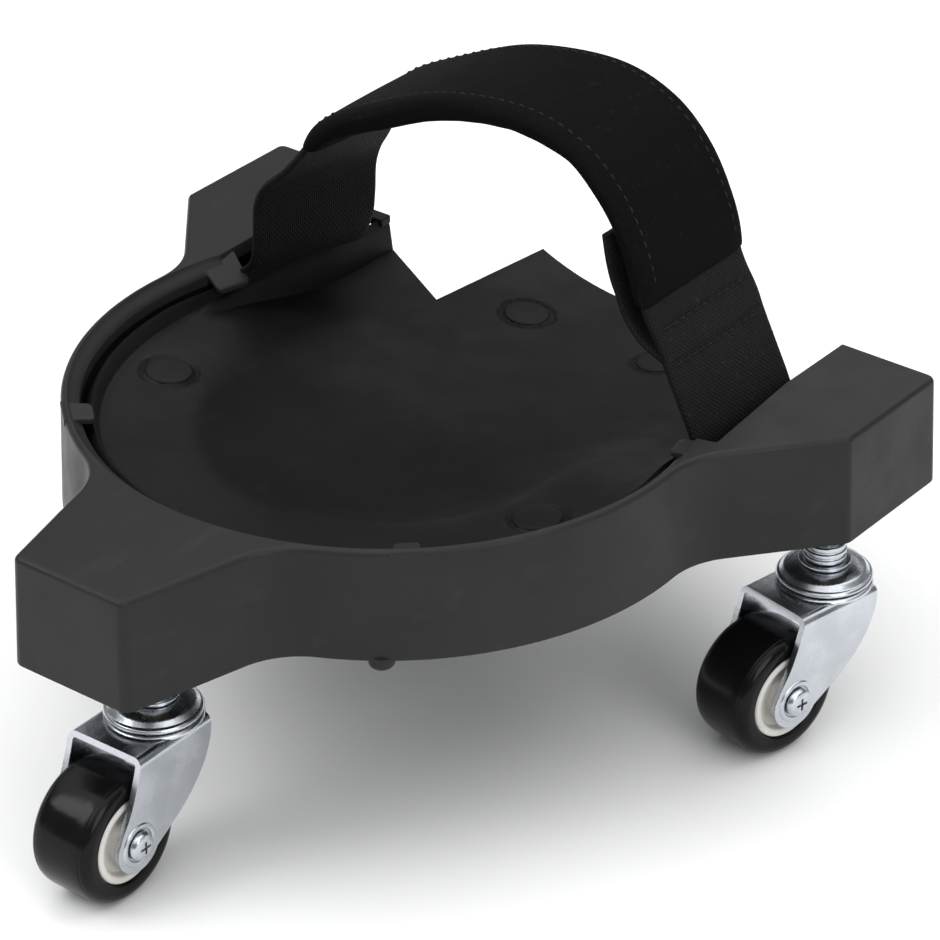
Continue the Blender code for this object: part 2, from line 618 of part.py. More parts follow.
def build_caster(name, swivel, yaw, looks):
    """One caster. Its stem and race stay with the arm, and its fork and wheel turn with the swivel empty."""
    x, y = swivel
    fixed = Matrix.Translation((x, y, 0))
    pivot = bpy.data.objects.new(f"{name}_swivel_axis", None)
    bpy.context.scene.collection.objects.link(pivot)
    pivot.matrix_world = fixed @ Matrix.Rotation(math.radians(yaw), 4, "Z")
    axle = bpy.data.objects.new(f"{name}_wheel_axis", None)
    bpy.context.scene.collection.objects.link(axle)
    axle.parent = pivot
    axle.matrix_local = Matrix.Translation((0, -TRAIL, WHEEL_R))

    def turn(part, profile, look, place, parent=None, sides=ROUND, axis="Z"):
        title = f"{name}_{part}"
        return add_object(title, turned(title, profile, sides, axis), look, place, parent)

    # Fixed to the arm: insert, stem with its riveted foot, nut, washer and upper race.
    low = BOTTOM_Z + 0.0022
    high = STEM_TOP - 0.002
    insert = [(STEM_R + GAP, low), (0.0060, low), (0.0060, high), (STEM_R + GAP, high)]
    turn("threaded_insert", insert, looks["brass"], fixed, sides=ROUND_SMALL)
    stem = [(0, 0.0432), (0.0062, 0.0432), (0.0070, 0.0440), (0.0070, 0.0451), (STEM_R, 0.0451)]
    stem += [(STEM_R, STEM_TOP - 0.001), (STEM_R - 0.001, STEM_TOP), (0, STEM_TOP)]
    turn("stem", stem, looks["zinc"], fixed, sides=ROUND_SMALL)
    inner = STEM_R + GAP
    nut = [(inner, 0.0563), (0.0066, 0.0563), (0.0066, 0.0618), (0.0058, 0.0624), (inner, 0.0624)]
    turn("stem_nut", nut, looks["zinc"], fixed, sides=ROUND_SMALL)
    washer = [(inner, 0.0549), (0.0081, 0.0549), (0.0081, 0.0560), (inner, 0.0560)]
    turn("stem_washer", washer, looks["zinc"], fixed, sides=ROUND_SMALL)
    race = [(inner, 0.0532), (0.0072, 0.0532), (0.0110, 0.0524), (0.0130, 0.0508), (0.0130, 0.0499)]
    race += [(0.0141, 0.0499), (0.0141, 0.0512), (0.0118, 0.0536), (0.0076, 0.0546), (inner, 0.0546)]
    turn("upper_race", race, looks["zinc"], fixed)

    # Turns on the stem: ball ring, fork, lower race, axle and its nut, wheel bush.
    ring = arc((0.0104, 0.0506), 0.0015, 0, 2 * math.pi, 6)[:-1]
    turn("ball_ring", [(p.x, p.y) for p in ring], looks["steel"], Matrix(), pivot)
    lower = [(inner, 0.0454), (0.0095, 0.0454), (0.0095, 0.0462), (inner, 0.0462)]
    turn("lower_race", lower, looks["zinc"], Matrix(), pivot, sides=ROUND_SMALL)
    build_fork(name, pivot, looks["zinc"])
    outside = FORK_IN + SHEET
    bolt = [(0, -outside - 0.0044), (AXLE_R, -outside - 0.0044), (AXLE_R, outside + GAP)]
    bolt += [(0.0060, outside + GAP), (0.0058, outside + 0.0010), (0.0040, outside + 0.0012)]
    bolt += [(0.0034, outside + 0.0024), (0, outside + 0.0026)]
    turn("axle_bolt", bolt, looks["zinc"], Matrix(), axle, sides=ROUND_SMALL, axis="X")
    flat = (AXLE_R + GAP) / math.cos(math.pi / 6)
    ends = (-outside - 0.0036, -outside - GAP)
    nut = [(flat, ends[0]), (0.0050, ends[0]), (0.0050, ends[1]), (flat, ends[1])]
    turn("axle_nut", nut, looks["zinc"], Matrix(), axle, sides=6, axis="X")
    half = FORK_IN - GAP
    bush = [(AXLE_R + GAP, -half), (0.0038, -half), (0.0038, half), (AXLE_R + GAP, half)]
    turn("wheel_bush", bush, looks["steel"], Matrix(), axle, sides=ROUND_SMALL, axis="X")

    # The wheel: a tyre on a dished hub.
    bore = 0.0038 + GAP
    rim = HUB_R - GAP
    lip = TREAD_HALF - 0.0004
    dish = TREAD_HALF - 0.0028
    side = [(bore, half - GAP), (0.0062, half - GAP), (0.0068, dish), (0.0112, dish)]
    side += [(0.0122, lip), (rim, lip)]
    hub = side + [(r, -z) for r, z in reversed(side)]
    turn("hub", hub, looks["hub"], Matrix(), axle, axis="X")
    edge = [(HUB_R, TREAD_HALF - 0.0003), (0.0170, TREAD_HALF), (0.0190, TREAD_HALF - 0.0008)]
    edge += [(0.0201, TREAD_HALF - 0.0024), (WHEEL_R, TREAD_HALF - 0.0050)]
    tyre = edge + [(r, -z) for r, z in reversed(edge)]
    turn("tyre", tyre, looks["tyre"], Matrix(), axle, sides=28, axis="X")


def fork_side():
    """Side outline of a fork leg as (distance towards the wheel, height)."""
    end = arc((TRAIL, WHEEL_R), 0.0090, math.radians(10), math.radians(-155), 7)
    front = [Vector((0.0228, FORK_TOP - 0.0014)), Vector((0.0240, 0.0400)), Vector((0.0290, 0.0290))]
    back = [Vector((0.0080, 0.0222)), Vector((-0.0020, 0.0290)), Vector((-0.0080, 0.0380))]
    back += [Vector((-0.0090, 0.0440)), Vector((-0.0090, FORK_TOP - 0.0014))]
    return front + end + back


def build_fork(name, pivot, look):
    """Pressed fork: two legs under a plate that carries a raised raceway."""
    front = 0.0228
    back = -0.0090
    outside = FORK_IN + SHEET
    fold = 0.0014
    levels = ((0.0, FORK_TOP - SHEET), (0.0, FORK_TOP - fold), (fold, FORK_TOP))
    loops = []
    for inset, z in levels:
        wide = outside - inset
        corners = ((-wide, -front), (wide, -front), (wide, -back), (-wide, -back))
        loops.append([(x, y, z) for x, y in corners])
    fork = add_object(f"{name}_fork", loft(f"{name}_fork", loops), look, Matrix(), pivot)
    for side, sign in (("near", 1), ("far", -1)):
        xs = sorted((sign * FORK_IN, sign * outside))
        title = f"{name}_{side}_leg"
        leg = loft(title, [[(x, -p.x, p.y) for p in fork_side()] for x in xs])
        combine(fork, helper(title, leg, Matrix(), pivot), "UNION")
    top = FORK_TOP + 0.0005
    low = FORK_TOP - 0.001
    raceway = [(0.0120, low), (0.0146, low), (0.0146, FORK_TOP), (0.0138, top)]
    raceway += [(0.0126, top), (0.0120, FORK_TOP)]
    title = f"{name}_raceway"
    combine(fork, helper(title, turned(title, raceway), Matrix(), pivot), "UNION")
    title = f"{name}_stem_hole"
    radius = STEM_R + GAP
    hole = [(0, FORK_TOP - 0.01), (radius, FORK_TOP - 0.01), (radius, FORK_TOP + 0.01), (0, FORK_TOP + 0.01)]
    combine(fork, helper(title, turned(title, hole, ROUND_SMALL), Matrix(), pivot), "DIFFERENCE")
    title = f"{name}_axle_hole"
    radius = AXLE_R + GAP
    hole = [(0, -0.02), (radius, -0.02), (radius, 0.02), (0, 0.02)]
    place = Matrix.Translation((0, -TRAIL, WHEEL_R))
    combine(fork, helper(title, turned(title, hole, ROUND_SMALL, "X"), place, pivot), "DIFFERENCE")


def main():
    clear_scene()
    black = material("cradle_plastic", (0.045, 0.046, 0.048), 0.42)
    lining = material("cup_rubber", (0.018, 0.018, 0.019), 0.55)
    padding = material("sleeve_fabric", (0.010, 0.010, 0.011), 0.85)
    webbing = material("webbing", (0.016, 0.016, 0.017), 0.80)
    looks = {
        "zinc": material("bright_zinc", (0.72, 0.74, 0.76), 0.22, 1.0),
        "steel": material("bearing_steel", (0.55, 0.56, 0.58), 0.30, 1.0),
        "brass": material("brass", (0.70, 0.52, 0.24), 0.30, 1.0),
        "hub": material("hub_plastic", (0.62, 0.60, 0.55), 0.45),
        "tyre": material("tyre_polyurethane", (0.010, 0.010, 0.011), 0.25),
    }
    build_cradle(black)
    build_cup(lining)
    build_pegs(lining)
    build_strap(padding, webbing, looks["steel"])
    for name, swivel, yaw in CASTERS:
        build_caster(name, swivel, yaw, looks)


main()
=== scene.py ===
"""Looks of a rolling knee creeper: a cradle on three swivel casters, with a knee cup and a calf strap.

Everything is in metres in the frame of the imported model: +Z up from the floor, -Y along the nose arm.
"""

import json
import math

import bmesh
import bpy
from mathutils import Matrix, Vector


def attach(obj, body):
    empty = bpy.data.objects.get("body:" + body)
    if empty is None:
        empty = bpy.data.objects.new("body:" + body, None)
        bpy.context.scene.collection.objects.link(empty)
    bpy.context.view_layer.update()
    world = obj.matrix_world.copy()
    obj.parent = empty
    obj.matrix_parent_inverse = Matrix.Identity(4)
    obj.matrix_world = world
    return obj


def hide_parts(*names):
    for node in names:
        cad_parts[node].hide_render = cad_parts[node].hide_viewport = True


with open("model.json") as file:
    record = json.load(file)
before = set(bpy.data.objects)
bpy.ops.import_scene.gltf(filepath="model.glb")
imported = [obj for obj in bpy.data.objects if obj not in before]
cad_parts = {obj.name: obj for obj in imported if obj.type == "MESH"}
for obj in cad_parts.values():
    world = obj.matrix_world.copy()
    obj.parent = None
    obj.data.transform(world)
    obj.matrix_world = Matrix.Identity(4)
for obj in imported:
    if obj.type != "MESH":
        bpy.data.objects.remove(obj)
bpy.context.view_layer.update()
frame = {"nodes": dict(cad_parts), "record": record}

# Sizes shared with the CAD model.
GAP = 0.0003
REACH = 0.130
NOSE_Y = -0.135
TOP_Z = 0.110
WALL_HEIGHT = 0.036
WALL = 0.003
DRAFT = 0.0013
TOP_ROUND = 0.0019
RING_Y = NOSE_Y + 0.1447
RING_R = 0.100
NOSE_HALF = 0.0208
NOSE_LEAN = math.atan2(9.7, 37.0)
ARM_FRONT_Y = NOSE_Y + 0.1992
ARM_BACK_Y = NOSE_Y + 0.2465
ARM_INNER_X = 0.0952
ARM_LEAN = math.atan2(22.5, 27.3)
FILLET = 0.027
CORNER = 0.003
BOTTOM_Z = TOP_Z - WALL_HEIGHT
INNER_R = RING_R - WALL
FLOOR_THICK = 0.0025
FLOOR_BACK_Y = NOSE_Y + 0.210
CHAMFER_DEEP = 0.004
CHAMFER_WIDE = 0.0010
SHELF_WIDE = 0.0026  # a soft shoulder inside the rim
SHELF_DEEP = 0.0072
CLIPS = (  # degrees round the ring, width, reach inwards, drop from root to tip
    (-131.5, 0.0100, 0.0065, 0.0010),
    (-48.5, 0.0080, 0.0050, 0.0010),
    (13.5, 0.0085, 0.0048, 0.0008),
    (163.6, 0.0120, 0.0090, 0.0058),
)
CLIP_THICK = 0.0022
CLIP_DROP = 0.0004

STRAP_Y = NOSE_Y + 0.200
STRAP_WIDE = 0.050
WEBBING = 0.0024
SLOT_OUT_X = 0.1003
SLOT_LIP = 0.0044
LEFT_LIP_X = 0.0925  # the left slot is narrower at its top
BAR_X = 0.0942
BAR_Z = BOTTOM_Z + 0.0085
BAR_R = 0.0025
BAR_LONG = 0.062
LUG_HALF = 0.0023
PAD_THICK = 0.0074  # before it is blown up
PAD_INWARDS = 0.0006
PAD_WIDE = STRAP_WIDE + 0.0025

CUP_HALF = 0.0885
CUP_THICK = 0.0028
LIP_DROP = 0.0065
LIP_FALL = 0.0095
WALL_FOOT_X = 0.0853
WALL_END_Y = NOSE_Y + 0.2510
WALL_SPREAD = 0.0020
EAR_X = (0.0868, 0.0948)
NOTCH_X = 0.0525
NOTCH_Y = NOSE_Y + 0.2320
TONGUE_HALF = 0.0465
TONGUE_Y = NOSE_Y + 0.2815
TONGUE_HOLLOW = 0.006
BOWL_DEEP = 0.0300
FLAT_DEEP = 0.0280
TROUGH = 0.0045
PEG_R = 0.0080
GROOVE_WIDE = 0.0016
GROOVE_DEEP = 0.0011

WHEEL_R = 0.0205
TREAD_HALF = 0.011
FORK_IN = 0.0121
SHEET = 0.002
FORK_OUT = FORK_IN + SHEET
TRAIL = 0.0244
BUSH_R = 0.0038
FORK_TOP = 0.0485
HUB_R = 0.0140
AXLE_R = 0.0025
STEM_R = 0.0040
BOSS_R = 0.0090
RIB_THICK = 0.002
INSERT_R = 0.0063  # the hole for the threaded insert
INSERT_TOP = 0.0052
STEM_TOP = TOP_Z - 0.006
CASTERS = ("nose", "right", "left")
FINE = 64  # sides of a turned piece


# ---------------------------------------------------------------- materials


class Look:
    """A node material that is built up step by step around one Principled shader."""

    def __init__(self, name, **sockets):
        self.material = bpy.data.materials.new(name)
        self.material.use_nodes = True
        self.tree = self.material.node_tree
        self.shader = self.tree.nodes["Principled BSDF"]
        for key, value in sockets.items():
            self.shader.inputs[key.replace("_", " ")].default_value = value
        self.place = self.add("TexCoord").outputs["Object"]

    def add(self, kind, inputs=None, **settings):
        node = self.tree.nodes.new("ShaderNode" + kind)
        for key, value in settings.items():
            setattr(node, key, value)
        for key, value in (inputs or {}).items():
            if isinstance(value, bpy.types.NodeSocket):
                self.tree.links.new(value, node.inputs[key])
            else:
                node.inputs[key].default_value = value
        return node

    def math(self, operation, *values):
        return self.add("Math", dict(enumerate(values)), operation=operation).outputs[0]

    def noise(self, scale, detail, stretch=(1, 1, 1)):
        spot = self.add("Mapping", {"Vector": self.place, "Scale": stretch}).outputs[0]
        made = self.add("TexNoise", {"Vector": spot, "Scale": scale, "Detail": detail})
        return made.outputs["Fac"]

    def span(self, value, low, high, start=0.35, end=0.65):
        """The value between start and end, spread over low to high."""
        sockets = {"Value": value, "From Min": start, "From Max": end, "To Min": low, "To Max": high}
        return self.add("MapRange", sockets).outputs[0]

    def mix(self, factor, first, second):
        sockets = {"Factor": factor, 6: self.paint(first), 7: self.paint(second)}
        return self.add("Mix", sockets, data_type="RGBA").outputs[2]

    def paint(self, color):
        return color if isinstance(color, bpy.types.NodeSocket) else (*color, 1.0)

    def to(self, socket, value):
        self.tree.links.new(value, self.shader.inputs[socket])

    def bump(self, height, distance, under=None):
        sockets = {"Height": height, "Distance": distance, "Strength": 1.0}
        if under:
            sockets["Normal"] = under
        return self.add("Bump", sockets).outputs[0]

    def flat_place(self):
        """The piece's own (across, along) measure in metres, as two values."""
        spot = self.add("UVMap", uv_map="cloth").outputs[0]
        parts = self.add("SeparateXYZ", {"Vector": spot})
        return parts.outputs[0], parts.outputs[1]


def moulded(name, dark, light, rough, grain, grain_deep, **more):
    """Moulded plastic or rubber: fine grain, cloudy colour, patchy gloss and faint scuffs."""
    look = Look(name, **more)
    cloud = look.noise(22.0, 4.0)
    scuff = look.noise(130.0, 5.0, (1.0, 0.22, 1.0))
    color = look.mix(look.span(cloud, 0.0, 1.0), dark, light)
    pale = tuple(min(1.0, value * 1.55) for value in light)
    color = look.mix(look.span(scuff, 0.0, 0.55, 0.60, 0.78), color, pale)
    look.to("Base Color", color)
    gloss = look.span(look.noise(60.0, 4.0), rough - 0.05, rough + 0.06)
    gloss = look.math("ADD", gloss, look.span(scuff, 0.0, 0.10, 0.58, 0.80))
    look.to("Roughness", gloss)
    sink = look.bump(look.noise(34.0, 2.0), 0.00035)
    look.to("Normal", look.bump(look.noise(grain, 2.0), grain_deep, sink))
    return look.material


def plated(name, dark, light, rough):
    """Plated or ground metal: fine scratches one way and a cloudy bloom."""
    look = Look(name, Metallic=1.0)
    bloom = look.noise(90.0, 4.0)
    scratch = look.noise(900.0, 3.0, (1.0, 0.06, 0.4))
    look.to("Base Color", look.mix(look.span(bloom, 0.0, 1.0), dark, light))
    gloss = look.span(bloom, rough - 0.04, rough + 0.07)
    look.to("Roughness", look.math("ADD", gloss, look.span(scratch, 0.0, 0.07, 0.5, 0.8)))
    dent = look.bump(look.noise(160.0, 2.0), 0.00012)
    look.to("Normal", look.bump(scratch, 0.00003, dent))
    return look.material


def woven(name, dark, light, pitch, deep, rough, offset, **more):
    """Cloth whose yarns pass over and under each other: neighbouring columns are offset by half a yarn."""
    look = Look(name, **more)
    across, along = look.flat_place()
    turn = 2 * math.pi / pitch
    column = look.math("SINE", look.math("MULTIPLY", across, turn))
    shift = look.math("MULTIPLY", look.math("GREATER_THAN", column, 0.0), offset)
    row = look.math("SINE", look.math("ADD", look.math("MULTIPLY", along, turn * 0.9), shift))
    yarn = look.math("MULTIPLY", look.math("ABSOLUTE", column), look.math("ADD", row, 1.4))
    fuzz = look.noise(2600.0, 3.0)
    height = look.math("ADD", look.math("MULTIPLY", yarn, 0.4), look.math("MULTIPLY", fuzz, 0.5))
    worn = look.noise(38.0, 4.0)
    # Painted shade and highlight: the yarn crowns take the lighter colour and the gaps between the yarns
    # take the darker one.
    color = look.mix(look.span(yarn, 0.0, 1.0, 0.0, 2.2), dark, light)
    lint = tuple(min(1.0, value * 2.2) for value in light)
    color = look.mix(look.span(look.noise(420.0, 4.0), 0.0, 0.5, 0.62, 0.75), color, lint)
    color = look.mix(look.span(worn, 0.0, 0.35), color, dark)
    look.to("Base Color", color)
    look.to("Roughness", look.span(fuzz, rough - 0.06, rough + 0.06))
    soft = look.bump(look.noise(70.0, 3.0), 0.0008)
    look.to("Normal", look.bump(height, deep, soft))
    return look.material


def make_looks():
    black = (0.0150, 0.0152, 0.0157), (0.0186, 0.0188, 0.0193)
    rubber = (0.0046, 0.0046, 0.0048), (0.0070, 0.0070, 0.0073)
    tread = (0.0030, 0.0030, 0.0034), (0.0050, 0.0050, 0.0054)
    ivory = (0.56, 0.54, 0.50), (0.66, 0.64, 0.60)
    knit = (0.0035, 0.0035, 0.004), (0.0075, 0.0075, 0.008)
    tape = (0.0045, 0.0045, 0.005), (0.0145, 0.0145, 0.0155)
    soft_pad = {"Specular_IOR_Level": 0.03, "Sheen_Weight": 0.005, "Sheen_Roughness": 0.5}
    soft_tape = {"Specular_IOR_Level": 0.10, "Sheen_Weight": 0.02, "Sheen_Roughness": 0.4}
    plain = {
        "cradle_plastic": moulded("cradle plastic", *black, 0.42, 1500, 0.00004, Specular_IOR_Level=0.17),
        "cup_rubber": moulded("cup rubber", *rubber, 0.52, 1100, 0.00006, Specular_IOR_Level=0.12),
        "bright_zinc": plated("bright zinc", (0.50, 0.525, 0.56), (0.60, 0.625, 0.66), 0.24),
        "bearing_steel": plated("bearing steel", (0.48, 0.49, 0.51), (0.58, 0.59, 0.61), 0.26),
        "brass": plated("turned brass", (0.62, 0.44, 0.18), (0.74, 0.55, 0.26), 0.26),
        "hub_plastic": moulded("hub plastic", *ivory, 0.38, 900, 0.00003),
        "tyre_polyurethane": moulded("tyre", *tread, 0.20, 500, 0.00002, Specular_IOR_Level=0.14),
        "sleeve_fabric": woven("sleeve knit", *knit, 0.0009, 0.00010, 0.82, math.pi / 2, **soft_pad),
        "webbing": woven("strap webbing", *tape, 0.0016, 0.00028, 0.66, math.pi, **soft_tape),
    }
    thread = Look("sewing thread", Roughness=0.6, Specular_IOR_Level=0.15)
    twist = thread.noise(1800.0, 2.0, (1.0, 0.3, 1.0))
    thread.to("Base Color", thread.mix(twist, (0.006, 0.006, 0.0065), (0.016, 0.016, 0.017)))
    thread.to("Normal", thread.bump(twist, 0.00015))
    plain["thread"] = thread.material
    return plain


LOOKS = make_looks()


# ---------------------------------------------------------------- mesh tools


def finish_mesh(bm, crease=38.0, recalc=True):
    """The finished mesh, smooth but for edges sharper than the crease angle."""
    if recalc:
        bmesh.ops.recalc_face_normals(bm, faces=bm.faces)
    mesh = bpy.data.meshes.new("part")
    bm.to_mesh(mesh)
    bm.free()
    mesh.shade_smooth()
    mesh.set_sharp_from_angle(angle=math.radians(crease))
    return mesh


def place_object(name, mesh, slot=None, look=None, place=None):
    """An object with its mesh moved to its place. Its look is the slot's own unless another is given."""
    obj = bpy.data.objects.new(name, mesh)
    bpy.context.scene.collection.objects.link(obj)
    mesh.materials.clear()
    if slot or look:
        mesh.materials.append(LOOKS[look or slot])
    if place is not None:
        mesh.transform(place)
    return obj


def bake(obj):
    """Turns the object's modifiers into mesh."""
    graph = bpy.context.evaluated_depsgraph_get()
    mesh = bpy.data.meshes.new_from_object(obj.evaluated_get(graph))
    obj.modifiers.clear()
    old = obj.data
    obj.data = mesh
    mesh.name = obj.name
    bpy.data.meshes.remove(old)


def settle(obj, crease=38.0):
    """Bakes the object and removes the helpers that its Booleans used."""
    helpers = [mod.object for mod in obj.modifiers if mod.type == "BOOLEAN"]
    for helper in helpers:
        if helper.modifiers:
            settle(helper)
    bake(obj)
    for helper in helpers:
        bpy.data.objects.remove(helper, do_unlink=True)
    obj.data.shade_smooth()
    obj.data.set_sharp_from_angle(angle=math.radians(crease))


def combine(target, other, operation):
    """A Boolean on the target, worked out when the target is settled."""
    made = target.modifiers.new(other.name, "BOOLEAN")
    made.operation = operation
    made.solver = "EXACT"
    made.object = other


def soften(obj, wide, segments, angle):
    """Rounds the hard edges, and lets the large faces set the shading."""
    made = obj.modifiers.new("soft_edges", "BEVEL")
    made.width = wide
    made.segments = segments
    made.limit_method = "ANGLE"
    made.angle_limit = math.radians(angle)
    settle(obj, 50.0)
    shade_by_area(obj)


def shade_by_area(obj):
    made = obj.modifiers.new("shading", "WEIGHTED_NORMAL")
    made.keep_sharp = True
    made.weight = 90
    bake(obj)


def helper(mesh, place=None):
    """A hidden shape for a Boolean."""
    obj = place_object("helper", mesh, place=place)
    obj.hide_render = True
    return obj


def weld(target, mesh, place=None):
    combine(target, helper(mesh, place), "UNION")


def cut(target, mesh, place=None):
    combine(target, helper(mesh, place), "DIFFERENCE")


def loft_mesh(loops):
    """A closed solid through loops of equally many points."""
    bm = bmesh.new()
    rings = [[bm.verts.new(point) for point in loop] for loop in loops]
    count = len(rings[0])
    for low, high in zip(rings, rings[1:]):
        for i in range(count):
            j = (i + 1) % count
            bm.faces.new((low[i], low[j], high[j], high[i]))
    bm.faces.new(reversed(rings[0]))
    bm.faces.new(rings[-1])
    return finish_mesh(bm)


def eased(profile, corner):
    """The profile with each corner off the axis turned into a small arc."""
    points = [Vector(p) for p in profile]
    made = []
    count = len(points)
    for i, point in enumerate(points):
        before = points[i - 1] - point
        after = points[(i + 1) % count] - point
        bend = math.pi - before.angle(after)
        if point.x < 1e-9 or bend < math.radians(12):
            made.append(point)
            continue
        reach = min(corner, 0.4 * before.length, 0.4 * after.length)
        first = point + before.normalized() * reach
        last = point + after.normalized() * reach
        for step in range(4):
            t = step / 3
            made.append(first * (1 - t) ** 2 + point * (2 * t * (1 - t)) + last * t**2)
    return [(p.x, p.y) for p in made]


def turned_mesh(profile, sides, axis="Z", corner=0.00025):
    """A closed (radius, height) profile with eased corners, turned about an axis."""
    bm = bmesh.new()
    rings = []
    profile = eased(profile, corner) if corner else profile
    for radius, height in profile:
        if radius < 1e-9:
            rings.append([bm.verts.new((0, 0, height))])
            continue
        turns = [2 * math.pi * i / sides for i in range(sides)]
        rings.append([bm.verts.new((radius * math.cos(t), radius * math.sin(t), height)) for t in turns])
    for first, second in zip(rings, rings[1:] + rings[:1]):
        for i in range(sides):
            j = (i + 1) % sides
            corners = [first[i % len(first)], first[j % len(first)]]
            corners += [second[j % len(second)], second[i % len(second)]]
            corners = list(dict.fromkeys(corners))
            if len(corners) > 2:
                bm.faces.new(corners)
    if axis == "X":
        bmesh.ops.rotate(bm, verts=bm.verts, matrix=Matrix.Rotation(math.pi / 2, 3, "Y"))
    return finish_mesh(bm)


def rod_mesh(radius, low, high, sides, axis="Z", corner=0.0):
    """A plain round rod."""
    profile = [(0, low), (radius, low), (radius, high), (0, high)]
    return turned_mesh(profile, sides, axis, corner)


def box_mesh(low, high):
    bm = bmesh.new()
    size = [b - a for a, b in zip(low, high)]
    middle = [(a + b) / 2 for a, b in zip(low, high)]
    bmesh.ops.create_cube(bm, size=1.0, matrix=Matrix.Translation(middle) @ Matrix.Diagonal((*size, 1)))
    return finish_mesh(bm)


def arc(centre, radius, start, end, steps):
    """Points of a round stretch, from one angle to another."""
    angles = [start + (end - start) * i / steps for i in range(steps + 1)]
    return [Vector((centre[0] + radius * math.cos(a), centre[1] + radius * math.sin(a))) for a in angles]


def curve_through(points, steps):
    """A smooth line through the points, with evenly many steps between them."""
    points = [Vector(p) for p in points]
    padded = [2 * points[0] - points[1]] + points + [2 * points[-1] - points[-2]]
    made = []
    for a, b, c, d in zip(padded, padded[1:], padded[2:], padded[3:]):
        for i in range(steps):
            t = i / steps
            square = (2 * a - 5 * b + 4 * c - d) * t**2
            cube = (3 * b - a - 3 * c + d) * t**3
            made.append((2 * b + (c - a) * t + square + cube) / 2)
    return made + [points[-1]]


def running_lengths(points):
    lengths = [0.0]
    for a, b in zip(points, points[1:]):
        lengths.append(lengths[-1] + (b - a).length)
    return lengths


def evenly(points, count):
    """The same line cut into equal lengths."""
    lengths = running_lengths(points)
    made = []
    index = 0
    for step in range(count + 1):
        at = lengths[-1] * step / count
        while index < len(points) - 2 and lengths[index + 1] < at:
            index += 1
        share = (at - lengths[index]) / max(1e-12, lengths[index + 1] - lengths[index])
        made.append(points[index].lerp(points[index + 1], min(1.0, share)))
    return made


def smooth_step(value):
    """Eases 0 to 1 in and out."""
    value = max(0.0, min(1.0, value))
    return value * value * (3 - 2 * value)


def between(stops, at):
    """Straight reading of (position, value) stops."""
    for (a, low), (b, high) in zip(stops, stops[1:]):
        if at <= b:
            return low + (high - low) * (at - a) / (b - a)
    return stops[-1][1]


def flowing(stops, at):
    """Smooth reading of (position, value) stops, without overshoot."""
    last = len(stops) - 1
    index = 0
    while index < last - 1 and at > stops[index + 1][0]:
        index += 1
    (a, low), (b, high) = stops[index], stops[index + 1]

    def grade(i):
        return (stops[i + 1][1] - stops[i][1]) / (stops[i + 1][0] - stops[i][0])

    def slope(i):
        if i == 0:
            return 0.0
        if i == last:
            return grade(last - 1)
        left, right = grade(i - 1), grade(i)
        if left * right <= 0:
            return 0.0
        return 2 * left * right / (left + right)

    wide = b - a
    t = max(0.0, min(1.0, (at - a) / wide))
    first, second = slope(index) * wide, slope(index + 1) * wide
    return (
        (2 * t**3 - 3 * t**2 + 1) * low
        + (t**3 - 2 * t**2 + t) * first
        + (3 * t**2 - 2 * t**3) * high
        + (t**3 - t**2) * second
    )


# ---------------------------------------------------------------- cradle


def rounded(points, radius, steps=8):
    """The round corner at the middle one of three points."""
    before, corner, after = (Vector(p) for p in points)
    to_before = (before - corner).normalized()
    to_after = (after - corner).normalized()
    half = math.acos(max(-1.0, min(1.0, to_before.dot(to_after)))) / 2
    centre = corner + (to_before + to_after).normalized() * (radius / math.sin(half))
    first = corner + to_before * (radius / math.tan(half)) - centre
    last = corner + to_after * (radius / math.tan(half)) - centre
    start = math.atan2(first.y, first.x)
    turn = math.atan2(last.y, last.x) - start
    turn = (turn + math.pi) % (2 * math.pi) - math.pi
    return arc(centre, radius, start, start + turn, steps)


def fillet_to_ring(point, outward, radius, ring_radius):
    """Both centres of a fillet that touches a wall's line and the ring, measured from the ring's."""
    start = Vector(point) + outward * radius - Vector((0, RING_Y))
    along = Vector((-outward.y, outward.x))
    middle = start.dot(along)
    reach = ring_radius + radius
    offset = math.sqrt(middle**2 - start.dot(start) + reach**2)
    return [start + along * (-middle + side * offset) for side in (1, -1)]


